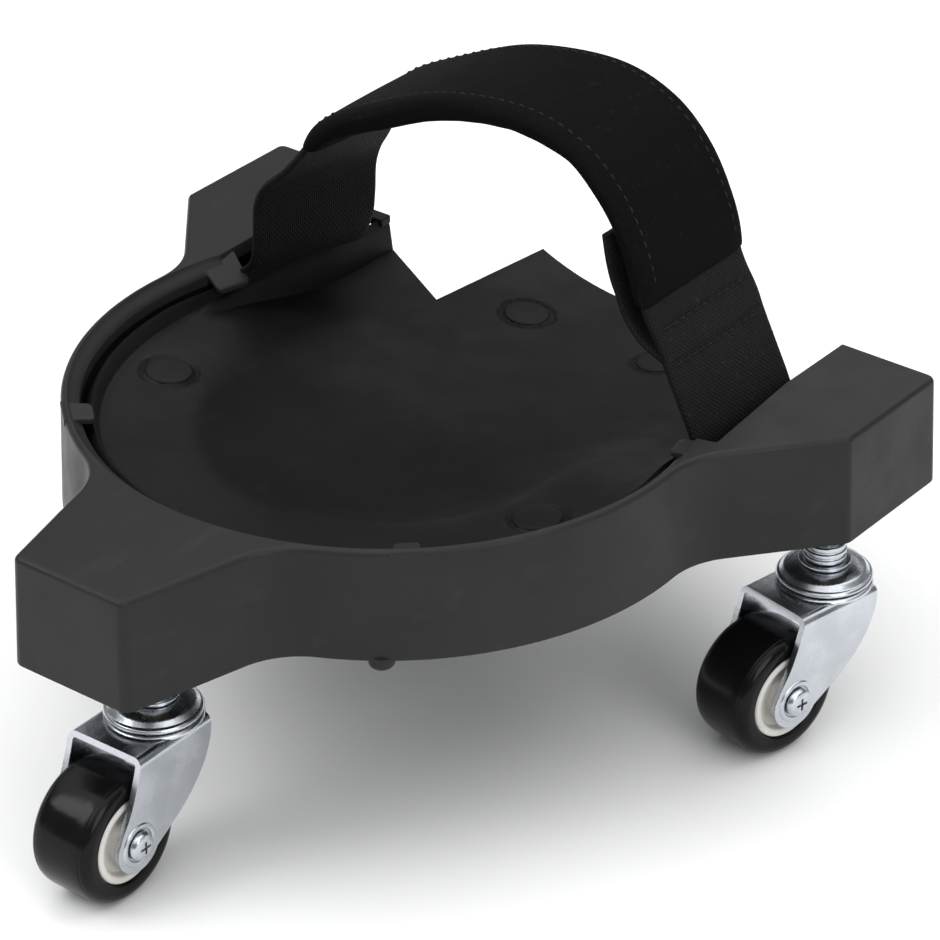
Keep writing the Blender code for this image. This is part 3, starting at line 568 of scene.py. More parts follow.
def half_outline(grow):
    """Right half of the cradle's outline, from the nose round to the back, grown outwards by grow."""
    nose_out = Vector((math.cos(NOSE_LEAN), -math.sin(NOSE_LEAN)))
    arm_out = Vector((math.cos(ARM_LEAN), -math.sin(ARM_LEAN)))
    ring_r = RING_R + grow
    ring = Vector((0, RING_Y))
    nose_line = Vector((NOSE_HALF, NOSE_Y)) + nose_out * grow
    arm_line = Vector((REACH, ARM_FRONT_Y)) + arm_out * grow
    nose_y = NOSE_Y - grow
    back_y = ARM_BACK_Y + grow
    end_x = REACH + grow

    def on_nose(y):
        return Vector((nose_line.x + (y - nose_line.y) * math.tan(NOSE_LEAN), y))

    points = rounded(((0, nose_y), on_nose(nose_y), on_nose(nose_y + 0.03)), CORNER + grow)
    fillet = FILLET - grow
    centre = min(fillet_to_ring(nose_line, nose_out, fillet, ring_r), key=lambda p: p.y) + ring
    to_ring = (ring - centre).normalized()
    start = math.atan2(-nose_out.y, -nose_out.x)
    end = math.atan2(to_ring.y, to_ring.x)
    points += arc(centre, fillet, start, end, 18)
    ring_start = math.atan2(-to_ring.y, -to_ring.x)

    side = max(fillet_to_ring(arm_line, arm_out, fillet, ring_r), key=lambda p: p.x) + ring
    from_ring = (ring - side).normalized()
    ring_end = math.atan2(-from_ring.y, -from_ring.x)
    points += arc(ring, ring_r, ring_start, ring_end, 36)[1:-1]
    start = math.atan2(from_ring.y, from_ring.x) % (2 * math.pi)
    end = math.atan2(-arm_out.y, -arm_out.x) % (2 * math.pi)
    points += arc(side, fillet, start, end, 18)

    corner = Vector((end_x, arm_line.y + (end_x - arm_line.x) / math.tan(ARM_LEAN)))
    before = corner - Vector((math.sin(ARM_LEAN), math.cos(ARM_LEAN))) * 0.01
    points += rounded((before, corner, (end_x, corner.y + 0.01)), CORNER + grow)
    points += rounded(((end_x, back_y - 0.01), (end_x, back_y), (end_x - 0.01, back_y)), CORNER + grow)
    return points


def outline(grow, z):
    """The cradle's whole outline at a height, grown outwards by grow."""
    right = half_outline(grow)
    left = [Vector((-p.x, p.y)) for p in reversed(right)]
    return [(p.x, p.y, z) for p in right + left]


def opening(grow, z, lip=False, shelf=0.0):
    """Opening for the cup and the strap slots. A lip narrows the slots, and a shelf narrows the ring."""
    step_y = NOSE_Y + 0.1725
    inner = INNER_R + grow - shelf
    end = math.asin((step_y - grow - RING_Y) / inner)
    right = arc((0, RING_Y), inner, -math.pi / 2, end, 64)[1:]
    back_x = ARM_INNER_X + grow
    back_y = NOSE_Y + 0.235 + grow
    if lip:
        front = Vector((SLOT_OUT_X - 0.0011 + grow, step_y + 0.0015 - grow))
        bend = Vector((back_x, NOSE_Y + 0.215))
        right += rounded((right[-1], front, bend), 0.0012, 4)
        right += rounded((front, bend, (back_x, back_y)), 0.030, 4)
        right += [Vector((back_x, back_y - 0.001 * (4 - i))) for i in range(5)]
    else:
        front = Vector((SLOT_OUT_X + grow, step_y + 0.0015 - grow))
        bend = Vector((SLOT_OUT_X + grow - 0.0015, NOSE_Y + 0.227 + grow))
        right += rounded((right[-1], front, front + Vector((0, 0.02))), 0.0012, 4)
        right += rounded((front, bend, (ARM_INNER_X, NOSE_Y + 0.2335)), 0.002, 4)
        right += rounded((bend, (back_x, back_y), (back_x, ARM_BACK_Y)), 0.002, 4)
    right.append(Vector((back_x, ARM_BACK_Y + 0.02)))
    left = [Vector((-p.x, p.y)) for p in reversed(right)]
    if lip:
        left = [Vector((max(p.x, -LEFT_LIP_X - grow), p.y)) if p.y > step_y - 0.0005 else p for p in left]
    return [(p.x, p.y, z) for p in [Vector((0, RING_Y - inner))] + right + left]


def caster_places():
    """Name, swivel place, axle place and axle direction of each caster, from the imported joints."""
    joints = {joint["name"]: joint for joint in frame["record"]["behaviour"]["joints"]}
    for name in CASTERS:
        swivel = Vector(joints[f"{name}_swivel_turn"]["pos_m"])
        roll = joints[f"{name}_wheel_roll"]
        yield name, swivel, Vector(roll["pos_m"]), Vector(roll["axis"])


def build_cradle():
    levels = [(DRAFT - 0.0004, BOTTOM_Z), (DRAFT - 0.0001, BOTTOM_Z + 0.0002), (DRAFT, BOTTOM_Z + 0.0005)]
    for step in range(7):
        turn = step / 6 * math.pi / 2
        levels.append((-TOP_ROUND * (1 - math.cos(turn)), TOP_Z - TOP_ROUND * (1 - math.sin(turn))))
    mesh = loft_mesh([outline(*level) for level in levels])
    cradle = place_object("cradle_moulding", mesh, "cradle_plastic")

    pocket_loops = [outline(DRAFT - WALL, BOTTOM_Z - 0.01), outline(-WALL, TOP_Z - WALL)]
    pocket = helper(loft_mesh(pocket_loops))
    keep = helper(loft_mesh([opening(WALL, z) for z in (BOTTOM_Z - 0.02, TOP_Z)]))
    combine(pocket, keep, "DIFFERENCE")
    combine(cradle, pocket, "DIFFERENCE")

    levels = [opening(0.0, BOTTOM_Z + FLOOR_THICK), opening(0.0, TOP_Z - SHELF_DEEP - 0.0006)]
    levels.append(opening(0.0, TOP_Z - SHELF_DEEP, shelf=SHELF_WIDE))
    levels.append(opening(0.0, TOP_Z - SLOT_LIP - 0.0001, shelf=SHELF_WIDE))
    for step in range(11):
        share = step / 10
        wide = CHAMFER_WIDE * (0.6 * share + 0.4 * (1 - math.sqrt(1 - share**2)))
        shelf = SHELF_WIDE * (1 - smooth_step(share))
        levels.append(opening(wide, TOP_Z - CHAMFER_DEEP * (1 - share), True, shelf))
    levels.append(opening(CHAMFER_WIDE, TOP_Z + 0.001, True))
    well = helper(loft_mesh(levels))
    combine(cradle, well, "DIFFERENCE")
    low = (-ARM_INNER_X, FLOOR_BACK_Y, BOTTOM_Z - 0.01)
    high = (ARM_INNER_X, ARM_BACK_Y + 0.03, BOTTOM_Z + 0.01)
    cut(cradle, box_mesh(low, high))

    for _, swivel, _, _ in caster_places():
        add_boss(cradle, swivel.x, swivel.y)
    for sign in (1, -1):
        add_bar_lugs(cradle, sign)
        add_wall_lug(cradle, sign)
    for clip in CLIPS:
        add_clip(cradle, *clip)
    settle(cradle, 32.0)
    shade_by_area(cradle)
    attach(cradle, "root")
    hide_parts("cradle_shell")


def add_clip(cradle, angle, wide, reach, drop):
    """A tongue that reaches in from the ring over the cup's rim and slopes down to a rounded tip."""
    half = wide / 2
    tip = INNER_R - reach
    root = INNER_R + 0.0030
    corner = 0.0020
    flare = ((root, half + 0.0012), (tip + 0.006, half + 0.0002), (tip + 0.0035, half))
    plan = [Vector((x, -y)) for x, y in flare]
    plan += arc((tip + corner, -half + corner), corner, -math.pi / 2, -math.pi, 5)
    plan += arc((tip + corner, half - corner), corner, math.pi, math.pi / 2, 5)
    plan += [Vector((x, y)) for x, y in reversed(flare)]
    levels = [(0.0003, CLIP_THICK), (0.0, CLIP_THICK - 0.0003)]
    levels += [(0.0, 0.0007), (0.0002, 0.0003), (0.0007, 0.0)]
    loops = []
    for inset, deep in levels:
        loop = []
        for p in plan:
            slope = drop * max(0.0, min(1.0, (root - p.x) / (root - tip))) ** 1.2
            x = p.x + inset * (p.x < root)
            loop.append((x, p.y - math.copysign(inset, p.y), TOP_Z - CLIP_DROP - slope - deep))
        loops.append(loop)
    place = Matrix.Translation((0, RING_Y, 0)) @ Matrix.Rotation(math.radians(angle), 4, "Z")
    weld(cradle, loft_mesh(loops), place)


def add_boss(cradle, x, y):
    """A stem boss with its hole, and two thin ribs that cross in it."""
    foot = BOTTOM_Z + 0.002
    top = TOP_Z - WALL + 0.0005
    place = Matrix.Translation((x, y, 0))
    weld(cradle, rod_mesh(BOSS_R, foot, top, 40, corner=0.0008), place)
    half = RIB_THICK / 2
    if x == 0:
        across = (-0.0265, 0.0265)
        along = (NOSE_Y + 0.001 - y, 0.0165)
    else:
        across = sorted(math.copysign(end, x) - x for end in (SLOT_OUT_X + 0.0015, REACH - 0.0015))
        along = (-0.0195, 0.0325)
    spans = (
        ((across[0], -half), (across[1], half)),
        ((-half, along[0]), (half, along[1])),
    )
    for low, high in spans:
        weld(cradle, box_mesh((*low, foot + 0.012), (*high, top)), place)
    cut(cradle, rod_mesh(INSERT_R, foot - 0.01, TOP_Z - INSERT_TOP, 40), place)


def add_bar_lugs(cradle, sign):
    """Two lugs that hold a strap bar by its ends."""
    for end in (-1, 1):
        middle = STRAP_Y + end * (STRAP_WIDE / 2 + 0.0045)
        ends = sorted((sign * (BAR_X - 0.0045), sign * (SLOT_OUT_X + 0.001)))
        low = (ends[0], middle - LUG_HALF, BOTTOM_Z + 0.0005)
        high = (ends[1], middle + LUG_HALF, BAR_Z + 0.0042)
        weld(cradle, box_mesh(low, high))
    half = BAR_LONG / 2 + GAP
    place = Matrix.Translation((sign * BAR_X, STRAP_Y, BAR_Z)) @ Matrix.Rotation(math.pi / 2, 4, "X")
    cut(cradle, rod_mesh(BAR_R + GAP, -half, half, 24), place)


def add_wall_lug(cradle, sign):
    """A small foot that stands out under the ring's wall."""
    angle = math.radians(-90 + sign * 37)
    place = Matrix.Translation((0, RING_Y, 0)) @ Matrix.Rotation(angle, 4, "Z")
    place = place @ Matrix.Translation((RING_R - 0.0014, 0, 0))
    foot = BOTTOM_Z - 0.0032
    top = BOTTOM_Z + 0.001
    profile = [(0, foot), (0.0028, foot), (0.0040, foot + 0.0013), (0.0040, top), (0, top)]
    weld(cradle, turned_mesh(profile, 32, corner=0.0008), place)


# ---------------------------------------------------------------- knee cup


BOWL = (  # share of the half width, depth
    (0.0, BOWL_DEEP),
    (0.15, BOWL_DEEP - 0.0005),
    (0.35, BOWL_DEEP - 0.0035),
    (0.55, 0.0205),
    (0.70, 0.0145),
    (0.85, 0.0125),
    (0.965, 0.0115),
)
ROLLED_RIM = (
    BOWL[-1],
    (1.0, 0.0112),
    (1.006, 0.0107),
    (1.012, 0.0074),
    (1.021, 0.0063),
    (1.03, 0.0070),
)
TONGUE_SHARE = TONGUE_HALF / CUP_HALF
NOTCH_SHARE = NOTCH_X / CUP_HALF
FOOT_SHARE = WALL_FOOT_X / CUP_HALF


def bowl_depth(share):
    if share > BOWL[-1][0]:
        return between(ROLLED_RIM, share)
    return flowing(BOWL, share)


def lip_spread(share, y):
    """Half width at a share. Past the rim the lip rolls outwards, and it fades at the strap slots."""
    if share <= 1.0:
        return CUP_HALF * share
    fade = 1.0 - 0.92 * smooth_step((y - RING_Y) / 0.022)
    return CUP_HALF * (1.0 + 1.25 * (share - 1.0) * fade)


def cup_depth(share, y):
    """Depth of the cup's inside below the cradle's top, at a share of its half width."""
    front = bowl_depth(share)
    back_share = (y - RING_Y) / (WALL_END_Y - RING_Y)
    if back_share <= 0:
        return front
    lip = LIP_DROP + LIP_FALL * smooth_step(back_share * 1.3)
    middle = BOWL_DEEP + (FLAT_DEEP + TROUGH - BOWL_DEEP) * smooth_step((y - FLOOR_BACK_Y) / 0.05)
    if share < TONGUE_SHARE:
        back = FLAT_DEEP + (middle - FLAT_DEEP) * (1 - (share / TONGUE_SHARE) ** 2)
    else:
        wall = ((0.983, lip + 0.0030), (1.0, lip), (1.03, lip + 0.0004))
        back = between(((TONGUE_SHARE, FLAT_DEEP), (FOOT_SHARE, FLAT_DEEP - 0.0004), *wall), share)
    return front + (back - front) * smooth_step(back_share * 1.25)


def cup_back(share):
    """How far back the cup reaches at a share of its half width."""
    if share <= TONGUE_SHARE:
        return TONGUE_Y - TONGUE_HOLLOW * (1 - (share / TONGUE_SHARE) ** 2)
    stops = (
        (TONGUE_SHARE, TONGUE_Y),
        (NOTCH_SHARE, NOTCH_Y),
        (FOOT_SHARE, WALL_END_Y - 0.001),
        (1.0, WALL_END_Y),
    )
    return between(stops, share)


def cup_share(x, y):
    """Where a point of the cup lies, from 0 on the centre line to 1 at the rim."""
    return math.hypot(x, min(0.0, y - RING_Y)) / CUP_HALF


PEGS = tuple(
    (f"{place}_peg_{side}", sign * x, y)
    for place, x, y in (("cup", 0.0717, NOSE_Y + 0.1234), ("tongue", 0.0265, NOSE_Y + 0.2465))
    for side, sign in (("left", -1), ("right", 1))
)


def groove(x, y):
    """How far the lining sinks round a peg: a ring groove with rolled sides."""
    sink = 0.0
    for _, px, py in PEGS:
        away = abs(math.hypot(x - px, y - py) - PEG_R - GROOVE_WIDE / 2 + 0.0002)
        if away < GROOVE_WIDE:
            sink += GROOVE_DEEP * (0.5 + 0.5 * math.cos(math.pi * away / GROOVE_WIDE))
    return sink


def build_cup():
    shares = []
    stops = ((0.0, 0), (TONGUE_SHARE, 17), (NOTCH_SHARE, 3), (FOOT_SHARE, 12), (1.0, 4))
    for (start, _), (end, steps) in zip(stops, stops[1:]):
        shares += [start + (end - start) * i / steps for i in range(1, steps + 1)]
    shares += [share for share, _ in ROLLED_RIM[2:]]
    bm = bmesh.new()

    def vertex(x, y, share):
        return bm.verts.new((x, y, TOP_Z - cup_depth(share, y)))

    middle = vertex(0, RING_Y, 0.0)
    turns = [math.pi * (1 + i / 88) for i in range(89)]
    spokes = []
    for turn in turns:
        spoke = []
        for share in shares:
            reach = lip_spread(share, RING_Y)
            spoke.append(vertex(reach * math.cos(turn), RING_Y + reach * math.sin(turn), share))
        spokes.append(spoke)
    for a, b in zip(spokes, spokes[1:]):
        bm.faces.new((middle, a[0], b[0]))
        for i in range(len(shares) - 1):
            bm.faces.new((a[i], a[i + 1], b[i + 1], b[i]))
    row = list(reversed(spokes[0])) + [middle] + spokes[-1]
    steps = 48
    spread = [-s for s in reversed(shares)] + [0.0] + shares
    for step in range(1, steps + 1):
        following = []
        for share in spread:
            y = RING_Y + (cup_back(abs(share)) - RING_Y) * step / steps
            following.append(vertex(math.copysign(lip_spread(abs(share), y), share), y, abs(share)))
        for i in range(len(row) - 1):
            bm.faces.new((row[i], row[i + 1], following[i + 1], following[i]))
        row = following
    refine_round_pegs(bm)
    for vert in bm.verts:
        vert.co.z -= groove(vert.co.x, vert.co.y)
    add_underside(bm)
    cup = place_object("cup_moulding", finish_mesh(bm, 60.0), "cup_rubber")
    soften(cup, 0.0007, 3, 42.0)
    for side, sign in (("right", 1), ("left", -1)):
        ends = sorted(sign * x for x in EAR_X)
        low = (ends[0], WALL_END_Y - 0.005, TOP_Z - LIP_DROP - LIP_FALL - 0.0025)
        high = (ends[1], WALL_END_Y, TOP_Z - LIP_DROP - LIP_FALL + 0.0005)
        ear = place_object(f"cup_ear_{side}", box_mesh(low, high), "cup_rubber")
        soften(ear, 0.0006, 3, 40.0)
        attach(ear, "root")
    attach(cup, "root")
    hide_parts("knee_cup")


def refine_round_pegs(bm):
    """Cuts the skin finer where the pegs' ring grooves are."""

    def near_a_groove(edge):
        spot = (edge.verts[0].co + edge.verts[1].co) / 2
        middle = PEG_R + GROOVE_WIDE / 2
        return any(abs(math.hypot(spot.x - x, spot.y - y) - middle) < 0.0022 for _, x, y in PEGS)

    for _ in range(2):
        near = [edge for edge in bm.edges if near_a_groove(edge)]
        bmesh.ops.subdivide_edges(bm, edges=near, cuts=1, use_grid_fill=True)
    for vert in bm.verts:
        share = cup_share(vert.co.x, vert.co.y)
        if share < 0.95:
            vert.co.z = TOP_Z - cup_depth(share, vert.co.y)


def add_underside(bm):
    under = bmesh.ops.extrude_face_region(bm, geom=list(bm.faces))
    for vertex in [item for item in under["geom"] if isinstance(item, bmesh.types.BMVert)]:
        x, y, _ = vertex.co
        out = Vector((x, min(0.0, y - RING_Y), 0))
        share = out.length / CUP_HALF
        stops = ((0.0, 0.0), (0.85, 0.0), (FOOT_SHARE, WALL_SPREAD), (1.0, 0.0015))
        spread = between(stops, min(share, 1.0))
        vertex.co += out.normalized() * spread
        vertex.co.z -= CUP_THICK


def build_pegs():
    """Flat button heads with a rolled edge, on barbed shanks through the lining."""

    def depth(x, y):
        return cup_depth(cup_share(x, y), y)

    head = PEG_R - 0.0004
    profile = [(0, -0.0052), (0.0014, -0.0052), (0.0023, -0.0044), (0.0023, -0.0008)]
    profile += [(head - 0.0008, -0.0008), (head, -0.0003), (head - 0.0005, 0.0003)]
    profile += [(head - 0.0022, 0.00045), (0, 0.0006)]
    near = 0.004
    for name, x, y in PEGS:
        tilt_x = (depth(x + near, y) - depth(x - near, y)) / (2 * near)
        tilt_y = (depth(x, y + near) - depth(x, y - near)) / (2 * near)
        up = Vector((tilt_x, tilt_y, 1.0)).normalized()
        lean = Vector((0, 0, 1)).rotation_difference(up).to_matrix().to_4x4()
        place = Matrix.Translation((x, y, TOP_Z - depth(x, y))) @ lean
        mesh = turned_mesh(profile, 56, corner=0.0004)
        peg = place_object(f"{name}_button", mesh, "cup_rubber", place=place)
        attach(peg, "root")
        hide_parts(name)


# ---------------------------------------------------------------- strap


def rise(x, height):
    """A point of the strap's side view, measured up from the cradle's top."""
    return Vector((x, TOP_Z + height))


def rises(*points):
    return [rise(x, height) for x, height in points]


PAD_LINE = rises(
    (-0.0590, 0.0470),
    (-0.0510, 0.0560),
    (-0.0330, 0.0655),
    (-0.0060, 0.0772),
    (0.0240, 0.0815),
    (0.0440, 0.0765),
    (0.0575, 0.0650),
    (0.0665, 0.0490),
    (0.0712, 0.0335),
)


def normals_of(line):
    """The outward direction at each point of a side-view line."""
    made = []
    for i in range(len(line)):
        along = (line[min(len(line) - 1, i + 1)] - line[max(0, i - 1)]).normalized()
        made.append(Vector((-along.y, along.x)))
    return made


def band_section(wide, thick, edge_steps, flat_steps, puff=0.0):
    """Closed cross section as (across, off the middle) points, with round edges."""
    half = wide / 2 - thick / 2
    points = []
    for face in (1, -1):
        for i in range(flat_steps):
            share = face * (-1 + 2 * i / flat_steps)
            points.append((share * half, face * (thick / 2 + puff * (1 - share * share))))
        for i in range(edge_steps):
            turn = math.pi * i / edge_steps
            across = half + thick / 2 * math.sin(turn)
            points.append((face * across, face * (thick / 2 * math.cos(turn))))
    return points


def band_mesh(near, far, section, wide, taper=()):
    """A band whose near and far edges follow two (x, z) lines, with its cloth measure in metres.

    taper holds (share from the end, thickness factor) stops for both ends.
    """
    bm = bmesh.new()
    cloth = bm.loops.layers.uv.new("cloth")
    near_out = normals_of(near)
    far_out = normals_of(far)
    rings = []
    run = [0.0]
    for i in range(len(near)):
        if i:
            step = ((near[i] - near[i - 1]).length + (far[i] - far[i - 1]).length) / 2
            run.append(run[-1] + step)
    measures = {}
    for i in range(len(near)):
        end = min(run[i], run[-1] - run[i])
        thin = between(taper, min(end, taper[-1][0])) if taper else 1.0
        ring = []
        for across, off in section:
            share = across / wide + 0.5
            middle = near[i].lerp(far[i], share)
            out = near_out[i].lerp(far_out[i], share).normalized()
            spot = middle + out * (off * thin)
            vert = bm.verts.new((spot.x, STRAP_Y + across, spot.y))
            measures[vert] = (across if off >= 0 else 0.2 - across, run[i])
            ring.append(vert)
        rings.append(ring)
    count = len(section)
    for low, high in zip(rings, rings[1:]):
        for i in range(count):
            j = (i + 1) % count
            bm.faces.new((low[i], low[j], high[j], high[i]))
    for ring in (rings[0], rings[-1]):
        for i in range(count // 2 - 1):
            bm.faces.new((ring[i], ring[i + 1], ring[count - 2 - i], ring[count - 1 - i]))
    bmesh.ops.recalc_face_normals(bm, faces=bm.faces)
    for face in bm.faces:
        for loop in face.loops:
            loop[cloth].uv = measures[loop.vert]
    return finish_mesh(bm, 60.0, recalc=False)


def stitch_mesh(spots, outs):
    """A row of stitches along the spots, each a short thread that dips into the cloth at both ends."""
    long = 0.0026
    gap = 0.0011
    radius = 0.00034
    bm = bmesh.new()
    lengths = running_lengths(spots)

    def at(distance):
        index = 0
        while index < len(spots) - 2 and lengths[index + 1] < distance:
            index += 1
        share = (distance - lengths[index]) / max(1e-12, lengths[index + 1] - lengths[index])
        out = outs[index].lerp(outs[index + 1], share).normalized()
        return spots[index].lerp(spots[index + 1], share), out

    start = gap
    while start + long < lengths[-1]:
        rings = []
        first, _ = at(start)
        last, out = at(start + long)
        along = (last - first).normalized()
        side = along.cross(out).normalized()
        for step in range(7):
            t = step / 6
            spot, out = at(start + long * t)
            fat = radius * (0.45 + 0.55 * math.sin(math.pi * t) ** 0.5)
            spot = spot + out * (radius * (1.3 * math.sin(math.pi * t) - 0.6))
            ring = []
            for i in range(8):
                turn = 2 * math.pi * i / 8
                round_spot = spot + side * (fat * math.cos(turn)) + out * (fat * math.sin(turn))
                ring.append(bm.verts.new(round_spot))
            rings.append(ring)
        for low, high in zip(rings, rings[1:]):
            for i in range(8):
                bm.faces.new((low[i], low[(i + 1) % 8], high[(i + 1) % 8], high[i]))
        bm.faces.new(reversed(rings[0]))
        bm.faces.new(rings[-1])
        start += long + gap
    return finish_mesh(bm, 60.0)


def build_pad():
    """The padded sleeve: a closed band, blown up as cloth within a limit so that it keeps its line."""
    line = evenly(curve_through(PAD_LINE, 12), 56)
    line = [point - out * PAD_INWARDS for point, out in zip(line, normals_of(line))]
    section = band_section(PAD_WIDE, PAD_THICK, 5, 13, 0.0002)
    mesh = band_mesh(line, line, section, PAD_WIDE, ((0.0, 0.55), (0.004, 0.9), (0.010, 1.0)))
    pad = place_object("calf_pad", mesh, "sleeve_fabric")
    rest = [vert.co.copy() for vert in pad.data.vertices]
    inflate(pad, rest, 4.0, 20, 0.0014)
    made = pad.modifiers.new("fine", "SUBSURF")
    made.levels = 2
    made.render_levels = 2
    settle(pad, 70.0)
    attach(pad, "root")
    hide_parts("strap_sleeve")

    outs = normals_of(line)
    for side, sign in (("near", -1), ("far", 1)):
        across = sign * (PAD_WIDE / 2 - 0.0058)
        spots = []
        for p, o in zip(line[2:-2], outs[2:-2]):
            outwards = Vector((o.x, 0, o.y))
            start = Vector((p.x, STRAP_Y + across, p.y)) + outwards * 0.02
            spots.append(pad.ray_cast(start, -outwards)[1] - outwards * 0.00015)
        ups = [Vector((o.x, 0, o.y)) for o in outs[2:-2]]
        seam = place_object(f"calf_pad_seam_{side}", stitch_mesh(spots, ups), "sleeve_fabric", "thread")
        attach(seam, "root")


def inflate(obj, rest, pressure, frames, cap):
    """Blows the closed piece up as cloth, with its ends held, and limits how far any point moves."""
    held = obj.vertex_groups.new(name="held")
    low = min(co.x for co in rest)
    high_end = Vector((PAD_LINE[-1].x, PAD_LINE[-1].y))
    for index, co in enumerate(rest):
        at_left = co.x - low < 0.004
        at_right = co.z < high_end.y + 0.004 and co.x > 0.05
        if at_left or at_right:
            held.add([index], 1.0, "REPLACE")
    cloth = obj.modifiers.new("cloth", "CLOTH")
    cloth.settings.use_pressure = True
    cloth.settings.uniform_pressure_force = pressure
    cloth.settings.effector_weights.gravity = 0
    cloth.settings.vertex_group_mass = "held"
    cloth.settings.tension_stiffness = 12
    cloth.settings.compression_stiffness = 12
    cloth.settings.bending_stiffness = 0.3
    cloth.collision_settings.use_collision = False
    cloth.point_cache.frame_start = 1
    cloth.point_cache.frame_end = frames
    scene = bpy.context.scene
    for number in range(1, frames + 1):
        scene.frame_set(number)
    graph = bpy.context.evaluated_depsgraph_get()
    blown = obj.evaluated_get(graph).data
    moved = [vert.co.copy() for vert in blown.vertices]
    obj.modifiers.remove(cloth)
    scene.frame_set(1)
    for vert, start, end in zip(obj.data.vertices, rest, moved):
        shift = end - start
        if shift.length > cap:
            shift *= cap / shift.length
        vert.co = start + shift
    obj.vertex_groups.clear()


def loop_round_bar(sign, foot, rise_to):
    """The webbing's end: down to the bar, once round under it and back up beside itself."""
    radius = BAR_R + GAP + WEBBING / 2
    centre = Vector((sign * BAR_X, BAR_Z))
    inner = centre + Vector((-sign * radius, 0))
    points = [foot, Vector((inner.x + sign * 0.0004, (foot.y + inner.y) / 2)), inner]
    start = math.pi if sign > 0 else 0.0
    turns = [start + sign * math.pi * i / 8 for i in range(1, 9)]
    points += [centre + radius * Vector((math.cos(t), math.sin(t))) for t in turns]
    outer = centre + Vector((sign * radius, 0))
    back = [Vector((outer.x - sign * 0.0003, outer.y + 0.004))]
    return points, back + [Vector((outer.x - sign * 0.0016, rise_to))]


def build_webbing():
    """One length to each side. On the left its near and far edges take different ways down."""
    right = rises((0.0695, 0.0370), (0.0726, 0.0300), (0.0770, 0.0228), (0.0801, 0.0158))
    right += rises((0.0845, 0.0068), (0.0886, -0.0015), (0.0906, -0.0062))
    near_left = rises((-0.0575, 0.0485), (-0.0615, 0.0435), (-0.0680, 0.0360), (-0.0760, 0.0285))
    near_left += rises((-0.0798, 0.0210), (-0.0806, 0.0080), (-0.0822, 0.0000), (-0.0862, -0.0044))
    near_left += rises((-0.0905, -0.0078))
    far_left = rises((-0.0585, 0.0460), (-0.0620, 0.0400), (-0.0660, 0.0320), (-0.0695, 0.0260))
    far_left += rises((-0.0716, 0.0190), (-0.0722, 0.0090), (-0.0735, 0.0000), (-0.0775, -0.0085))
    far_left += rises((-0.0835, -0.0126), (-0.0902, -0.0146))
    for side, sign, near, far in (("right", 1, right, right), ("left", -1, near_left, far_left)):
        foot = rise(0.0912, -0.0100) if sign > 0 else rise(-0.0917, -0.0165)
        down, back = loop_round_bar(sign, foot, TOP_Z - 0.0150)
        lines = []
        for line in (near, far):
            upper = curve_through(line + [down[0]], 8)
            lines.append(evenly(upper + down[1:] + back, 150))
        section = band_section(STRAP_WIDE, WEBBING, 5, 26)
        mesh = band_mesh(lines[0], lines[1], section, STRAP_WIDE)
        band = place_object(f"strap_webbing_{side}", mesh, "webbing")
        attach(band, "root")
        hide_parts(f"webbing_{side}")
    build_flap()


def build_flap():
    """The webbing's inner layer on the right, which runs back up inside the sleeve from the fold."""
    line = rises((0.0800, 0.0176), (0.0751, 0.0196), (0.0696, 0.0225), (0.0642, 0.0283))
    line += rises((0.0609, 0.0357), (0.0590, 0.0401), (0.0573, 0.0462), (0.0560, 0.0535))
    path = evenly(curve_through(line, 8), 60)
    wide = STRAP_WIDE - 0.001
    mesh = band_mesh(path, path, band_section(wide, 0.0021, 5, 26), wide)
    flap = place_object("strap_webbing_lining", mesh, "webbing")
    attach(flap, "root")


def sewn_rows():
    """Rows of stitches across the webbing where it is sewn at its folds."""
    rows = (
        ("fold_right", rise(0.0798, 0.0164), Vector((0.905, 0.424)).normalized()),
        ("top_right", rise(0.0748, 0.0265), Vector((0.853, 0.52)).normalized()),
    )
    for name, spot, out in rows:
        off = WEBBING / 2 + 0.0002
        count = 26
        spots = []
        for i in range(count + 1):
            y = STRAP_Y + (STRAP_WIDE / 2 - 0.003) * (2 * i / count - 1)
            spots.append(Vector((spot.x + out.x * off, y, spot.y + out.y * off)))
        ups = [Vector((out.x, 0, out.y))] * len(spots)
        row = place_object(f"webbing_stitches_{name}", stitch_mesh(spots, ups), "webbing", "thread")
        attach(row, "root")


# ---------------------------------------------------------------- casters


def stem_mesh():
    """The riveted foot, a threaded length and the hidden rest of the stem."""
    pitch = 0.00125
    start = 0.0600
    end = 0.0800
    foot = [(0, 0.0432), (0.0062, 0.0432), (0.0068, 0.0435), (0.0070, 0.0441), (0.0070, 0.0448)]
    foot += [(0.0067, 0.0451), (STEM_R, 0.0451), (STEM_R, start)]
    rows = int((end - start) / pitch * 8)
    levels = [start + (end - start) * i / rows for i in range(1, rows)]
    head = [(STEM_R, end), (STEM_R, STEM_TOP - 0.001), (STEM_R - 0.001, STEM_TOP), (0, STEM_TOP)]
    bm = bmesh.new()
    sides = 48
    rings = []
    for radius, z in foot + [(None, z) for z in levels] + head:
        if radius == 0:
            rings.append([bm.verts.new((0, 0, z))])
            continue
        ring = []
        for i in range(sides):
            turn = 2 * math.pi * i / sides
            reach = radius
            if radius is None:
                phase = (z / pitch - i / sides) % 1.0
                reach = STEM_R + 0.0001 - 0.0007 * smooth_step(1 - abs(2 * phase - 1))
            ring.append(bm.verts.new((reach * math.cos(turn), reach * math.sin(turn), z)))
        rings.append(ring)
    for low, high in zip(rings, rings[1:]):
        for i in range(sides):
            j = (i + 1) % sides
            corners = [low[i % len(low)], low[j % len(low)], high[j % len(high)], high[i % len(high)]]
            corners = list(dict.fromkeys(corners))
            bm.faces.new(corners)
    return finish_mesh(bm, 50.0)


def taken_mesh(obj):
    """The object's finished mesh, with the object itself removed."""
    mesh = obj.data.copy()
    bpy.data.objects.remove(obj, do_unlink=True)
    return mesh


